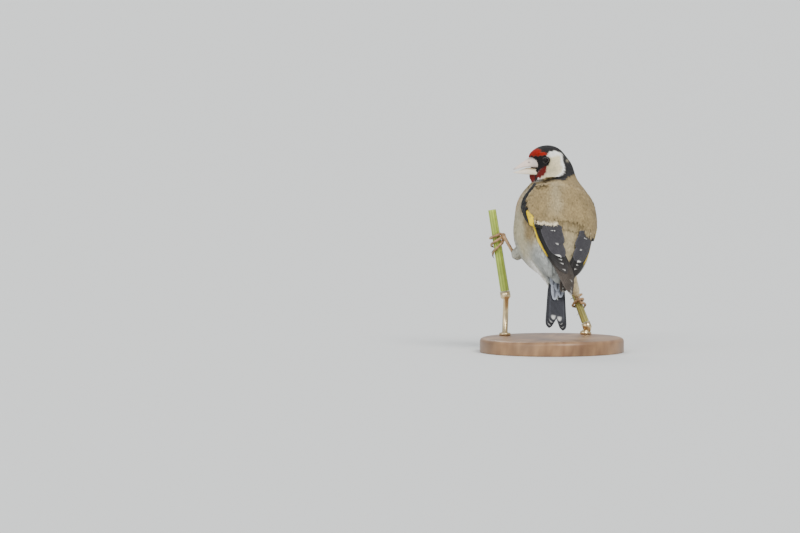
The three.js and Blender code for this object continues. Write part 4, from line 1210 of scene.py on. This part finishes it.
def eye_pieces():
    for side, centre, out in eye_places():
        word = "left" if side > 0 else "right"
        radius = EYE["radius"]
        verts, faces, fall = ball_mesh(centre, out, radius)
        iris = smooth((fall / DEG - 22) / 4) * smooth((48 - fall / DEG) / 8)
        colours = mix(PUPIL, IRIS, iris[:, None] * 0.25)
        dress(add_mesh("eyeball_" + word, verts, faces, colours=colours), "eye", "eye", "eye_" + word)
        # The lids are a ring of small folds that runs out to a point at each corner.
        turn = turns(LID["steps"])
        forward = unit(head.x - out * (head.x @ out))
        up = np.cross(forward, out)
        up = up * np.sign(up @ head.z)
        wide = LID["wide"] + 0.3 * np.abs(np.cos(turn)) ** 8
        flat = forward * (np.cos(turn) * wide)[:, None] + up * (np.sin(turn) * LID["tall"])[:, None]
        ring_radius = np.linalg.norm(flat, axis=1)
        path = centre + flat + out * np.sqrt(radius**2 - ring_radius**2)[:, None]
        rolls = turns(LID["sides"])
        radial = unit(flat)
        thick = LID["thick"] * (1 + 0.12 * np.sin(turn * 9) + 0.25 * np.sin(turn))
        round_part = np.cos(rolls)[None, :, None] * radial[:, None] + 0.8 * np.sin(rolls)[None, :, None] * out
        rings = path[:, None] + thick[:, None, None] * round_part
        n, m = LID["steps"], LID["sides"]
        i, j = np.meshgrid(np.arange(n), np.arange(m), indexing="ij")
        a, b = i * m + j, i * m + (j + 1) % m
        c, d = ((i + 1) % n) * m + (j + 1) % m, ((i + 1) % n) * m + j
        lid_faces = np.stack([a, d, c, b], -1).reshape(-1, 4)
        tone = LID_GREY * (1 + 0.25 * np.sin(turn * 11))[:, None]
        lid = add_mesh("lids_" + word, rings.reshape(-1, 3), [lid_faces], colours=np.repeat(tone, m, 0))
        dress(lid, "lid", "leg_skin")


eye_pieces()


def mandible(name, ridge, edge, tone, node):
    """Sections along the bill between its ridge and its cutting edge."""
    steps, arc = 40, 33
    s = np.linspace(0, 1, steps)[:, None]
    turn = np.linspace(0, np.pi, arc)[None]
    half = BILL["half"] * np.maximum(0.02, (1 - s) ** 0.82)
    x = mix(BILL["base"], BILL["tip"], s) + 0 * turn
    y = half * np.cos(turn)
    z = mix(edge(s), ridge(s), np.sin(turn) ** 0.85)
    p = head.at(x, y, z)
    verts = np.vstack([p.reshape(-1, 3), head.at(x[-1, 0] + 0.25, 0, z[-1].mean())[None]])
    faces = grid_faces(steps, arc, wrap=True)
    j = np.arange(arc)
    end = (steps - 1) * arc
    tip = np.stack([end + j, end + (j + 1) % arc, np.full(arc, steps * arc)], -1)
    colours = tone(x, z).reshape(-1, 3)
    piece = add_mesh(name, verts, [faces, tip], colours=np.vstack([colours, colours[-1:]]))
    dress(piece, "horn", "bill", node)


IVORY = rgb(0.8, 0.7, 0.56)
HORN_GREY = rgb(0.34, 0.3, 0.27)
ROSE, STRAW, NOSTRIL = rgb(0.82, 0.66, 0.56), rgb(0.74, 0.62, 0.42), rgb(0.03, 0.02, 0.02)


def upper_tone(x, z):
    grey = smooth((13.5 - x) / 4) * 0.5 + 0.5 * smooth((z - 3.2) / 1.5)
    colour = mix(ROSE, HORN_GREY, np.clip(grey, 0, 1)[..., None])
    colour = lay(colour, HORN_GREY * 0.7, smooth((x - 19.4) / 1.6) * 0.8)
    nostril = np.exp(-(((x - 12.2) / 0.55) ** 2) - ((z - 2.6) / 0.3) ** 2)
    return lay(colour, NOSTRIL, nostril * 1.3)


def lower_tone(x, _):
    return mix(STRAW, IVORY, smooth((x - 10) / 6)[..., None])


mandible(
    "bill_top",
    culmen,
    lambda s: mix(-0.55, 0.35, smooth(s * 2.2)) - 0.55 * smooth((s - 0.55) / 0.45),
    upper_tone,
    "bill_upper",
)
mandible(
    "bill_bottom",
    lambda s: mix(-1.0, -0.15, smooth(s * 2)) - 1.25 * smooth((s - 0.35) / 0.65),
    chin,
    lower_tone,
    "bill_lower",
)

# Legs and feet.


def leg_tone(base, dark, seed):
    def tone(p):
        return mix(base, dark, np.clip(0.5 + 0.5 * wobble(p, 3, seed), 0, 1)[..., None])

    return tone


LEG = leg_tone(rgb(0.44, 0.27, 0.13), rgb(0.24, 0.135, 0.06), 21)
CLAW = leg_tone(rgb(0.13, 0.09, 0.06), rgb(0.05, 0.035, 0.028), 22)


def stem_frame(stem):
    foot, top = np.array(stem["foot"], float), np.array(stem["top"], float)
    up = unit(top - foot)
    right = unit(np.array((1.0, 0, 0)) - up * up[0])
    return Frame(foot, right, np.cross(right, up), up)


GAP = 0.3
TOE_RADIUS, TOE_TIP, CLAW_GAP = 0.78, 0.55, 0.35
CLAW_ROOT = 0.5  # how far a claw starts inside its toe
SHANK_RADIUS, KNUCKLE_RADIUS = 0.86, 1.3


def scutes(count, depth=0.07):
    def section(s, turn):
        front = 0.5 + 0.5 * np.cos(turn)
        return 1 + depth * (((s * count) % 1) - 0.4) * (0.4 + 0.6 * front)

    return section


def toe_meshes(stem, toe, knuckle):
    f = stem_frame(stem)
    away = stem["radius"] + GAP + TOE_RADIUS
    turn_per_mm = 1 / away / DEG
    direction = np.sign(toe["turn"][1] - toe["turn"][0])

    def path(turn, lift):
        s = (turn - toe["turn"][0]) / (toe["turn"][1] - toe["turn"][0])
        far = away + lift
        return f.at(far * np.cos(turn * DEG), far * np.sin(turn * DEG), mix(*toe["height"], s))

    s = np.linspace(0, 1, 9)
    keys = np.vstack([knuckle, path(mix(toe["turn"][0], toe["turn"][1], s), 0.25 * np.sin(np.pi * s))])
    points = curve_points(keys, 60)
    t = np.linspace(0, 1, 60)
    radii = mix(TOE_RADIUS, TOE_TIP, t) * (1 + 0.1 * np.cos(t * 6 * np.pi))
    radii = radii * np.sqrt(np.clip((1.02 - t) / 0.05, 0.2, 1))
    toe_mesh = tube_mesh(points, radii, 18, scutes(13))
    s = np.linspace(0, 1, 20)
    start = toe["turn"][1] + direction * (CLAW_GAP - CLAW_ROOT) * turn_per_mm
    points = path(start + direction * s * (toe["claw"] + CLAW_ROOT) * turn_per_mm, 0.75 * s * s)
    return toe_mesh, tube_mesh(points, mix(0.48, 0.05, s**1.2), 14)


FEET = {
    "left": {
        "stem": STEM_LEFT,
        "ankle": (-19.6, 9.5, 50.6),
        "ball": (-25.4, 16.6, 60.6),
        "toes": [
            {"turn": (42, 196), "height": (30.4, 28.6), "claw": 3.6},
            {"turn": (36, 204), "height": (28.6, 24.4), "claw": 3.8},
            {"turn": (24, 170), "height": (26.6, 20.2), "claw": 3},
            {"turn": (-24, -108), "height": (25.6, 23), "claw": 3.4},
        ],
    },
    "right": {
        "stem": STEM_RIGHT,
        "ankle": (13.2, 15, 28.6),
        "ball": (14.6, 25.4, 26),
        "toes": [
            {"turn": (70, -84), "height": (14.6, 14.2), "claw": 3.4},
            {"turn": (64, -96), "height": (12.6, 10.4), "claw": 3.6},
            {"turn": (60, -70), "height": (10.6, 6.8), "claw": 3.4},
            {"turn": (116, 216), "height": (12, 9.4), "claw": 4},
        ],
    },
}


def leg_pieces():
    for side, foot in FEET.items():
        ankle, ball = np.array(foot["ankle"]), np.array(foot["ball"])
        s = np.linspace(0, 1, 70)
        points = ankle + (ball - ankle) * mix(-0.05, 1.0, s)[:, None]
        radii = SHANK_RADIUS + 0.35 * (2 * s - 1) ** 6
        verts, faces = tube_mesh(points, radii, 24, scutes(9))
        shank = add_mesh("tarsus_" + side, verts, faces, colours=LEG(verts))
        dress(shank, "leg", "leg_skin", "shank_" + side)
        toes, claws = zip(*(toe_meshes(foot["stem"], toe, ball) for toe in foot["toes"]))
        knuckle = ball_mesh(ball, unit(ball - ankle), KNUCKLE_RADIUS)
        verts, faces = joined([*toes, knuckle[:2]])
        dress(add_mesh("toes_" + side, verts, faces, colours=LEG(verts)), "leg", "leg_skin", "foot_" + side)
        verts, faces = joined(claws)
        nodes = [f"claw_{side}_{i + 1}" for i in range(len(claws))]
        dress(add_mesh("claws_" + side, verts, faces, colours=CLAW(verts)), "leg", "claw", *nodes)


leg_pieces()

# Stems and stand.


RIBS, STEM_RINGS = 9, 90


def stem_piece(side, stem, light, dark, slot):
    foot, top = np.array(stem["foot"], float), np.array(stem["top"], float)
    s = np.linspace(0, 1, STEM_RINGS)
    points = foot + (top - foot) * s[:, None]
    radii = stem["radius"] * mix(1.05, 0.93, s)

    def section(t, turn):
        return 1 + 0.035 * np.cos(RIBS * turn) + 0.012 * np.cos(2 * RIBS * turn + 9 * t)

    verts, faces = tube_mesh(points, radii, STEM_RINGS, section)
    rib = 0.5 + 0.5 * np.cos(RIBS * np.tile(turns(STEM_RINGS), STEM_RINGS))
    rib = np.concatenate([rib, [0.2, 0.9]])
    colours = mix(dark, light, rib[:, None]) * (1 + 0.12 * wobble(verts, 9, 31))[:, None]
    dress(add_mesh("stem_" + side, verts, faces, colours=colours), "stem", slot, "perch_" + side)


stem_piece("left", STEM_LEFT, rgb(0.42, 0.5, 0.07), rgb(0.24, 0.33, 0.035), "stem_green")
stem_piece("right", STEM_RIGHT, rgb(0.36, 0.34, 0.08), rgb(0.22, 0.18, 0.05), "stem_brown")

BASE_SIDES = 128
BASE_HALF = (38, 44)
BASE_PROFILE = [  # share of the half sizes and height
    (0, 0), (1, 0), (1, 0.6), (1.0, 5.6), (0.996, 6.3), (0.985, 6.95), (0.968, 7.35), (0.95, 7.5), (0.5, 7.5),
    (0, 7.5),
]
BASE_TOP = 7.5
ROD_FOOT, ROD_RADIUS = 3, 1.5
WOOD_LIGHT, WOOD_DARK, BRASS = rgb(0.3, 0.17, 0.08), rgb(0.17, 0.085, 0.04), (0.68, 0.53, 0.3)


def stand_pieces():
    turn = turns(BASE_SIDES)
    ring = np.stack([BASE_HALF[0] * np.cos(turn), BASE_HALF[1] * np.sin(turn)], -1)
    verts = np.vstack([np.column_stack([ring * share, np.full(BASE_SIDES, z)]) for share, z in BASE_PROFILE])
    grain = 0.5 + 0.5 * wobble(verts * (1, 0.15, 1), 6, 41)
    faces = grid_faces(len(BASE_PROFILE), BASE_SIDES, wrap=True)
    base = add_mesh("base", verts, [faces], colours=mix(WOOD_LIGHT, WOOD_DARK, grain[:, None]))
    dress(base, "wood", "base_wood", "stand_base")
    for side, stem in (("left", STEM_LEFT), ("right", STEM_RIGHT)):
        f = stem_frame(stem)
        foot = f.origin - 0.5 * f.z * (1, 0, 0)
        foot[2] = BASE_TOP + 0.1
        cup = stem["radius"] + 0.5
        keys = [foot + (0, 0, up) for up in (0, 1.2, 1.6)] + [f.at(0, 0, up) for up in (-4.4, -3.4, -0.3)]
        verts, faces = tube_mesh(keys, [ROD_FOOT, ROD_FOOT, ROD_RADIUS, ROD_RADIUS, cup, cup], 40)
        rod = add_mesh("rod_" + side, verts, faces, colours=np.tile(BRASS, (len(verts), 1)))
        dress(rod, "rod", "rod", "stand_rod_" + side)


stand_pieces()

# Floor, light and camera.


FLOOR_HALF = 30.0  # metres
LAMPS = (  # name, place, spread in degrees, strength
    ("key", (0.7, -1.1, 1.4), 30, 2.9),
    ("fill", (-1.2, -0.9, 0.7), 45, 0.9),
    ("rim", (-0.4, 1.3, 1.2), 25, 0.8),
    ("glint", (-0.55, -1.1, 0.75), 5, 0.4),
)
SKY = {"Color": (0.86, 0.9, 0.95, 1), "Strength": 0.75}


def aim(way):
    """The turn of a lamp or a camera that looks along a direction."""
    return Vector(way).to_track_quat("-Z", "Y").to_euler()


def studio():
    a = FLOOR_HALF
    mesh = bpy.data.meshes.new("floor")
    mesh.from_pydata([(-a, -a, 0), (a, -a, 0), (a, a, 0), (-a, a, 0)], [], [(0, 1, 2, 3)])
    material, nodes, links, shader = new_material("floor_mat", 0.7)
    noise = new_node(nodes, "TexNoise", Scale=3)
    ramp = new_node(nodes, "ValToRGB")
    ramp.color_ramp.elements[0].color = (0.66, 0.67, 0.65, 1)
    ramp.color_ramp.elements[1].color = (0.72, 0.72, 0.7, 1)
    links.new(noise.outputs["Fac"], ramp.inputs["Fac"])
    links.new(ramp.outputs["Color"], shader.inputs["Base Color"])
    mesh.materials.append(material)
    add_object("floor", mesh)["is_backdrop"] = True
    world = bpy.data.worlds.new("sky")
    bpy.context.scene.world = world
    world.use_nodes = True
    set_inputs(world.node_tree.nodes["Background"], SKY)
    for name, place, spread, power in LAMPS:
        light = bpy.data.lights.new(name, "SUN")
        light.energy = power
        light.angle = spread * DEG
        lamp = add_object(name, light)
        lamp.location = place
        lamp.rotation_euler = aim(-np.array(place))


studio()

CAMERA_TILT = 3 * DEG
CAMERA_AWAY = 4.68  # metres
CAMERA_LENS, SENSOR_WIDTH = 400, 36
CAMERA_TARGET = np.array((-0.080, -0.000785, 0.04502))


def add_camera():
    data = bpy.data.cameras.new("camera")
    data.lens = CAMERA_LENS
    data.sensor_width = SENSOR_WIDTH
    data.clip_end = 50
    camera = add_object("camera", data)
    way = np.array((0, np.cos(CAMERA_TILT), -np.sin(CAMERA_TILT)))
    camera.location = CAMERA_TARGET - way * CAMERA_AWAY
    camera.rotation_euler = aim(way)
    bpy.context.scene.camera = camera


add_camera()

boxes = {"cad": cad_box, "visual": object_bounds()}
{key: [list(map(float, corner)) for corner in value] for key, value in boxes.items()}
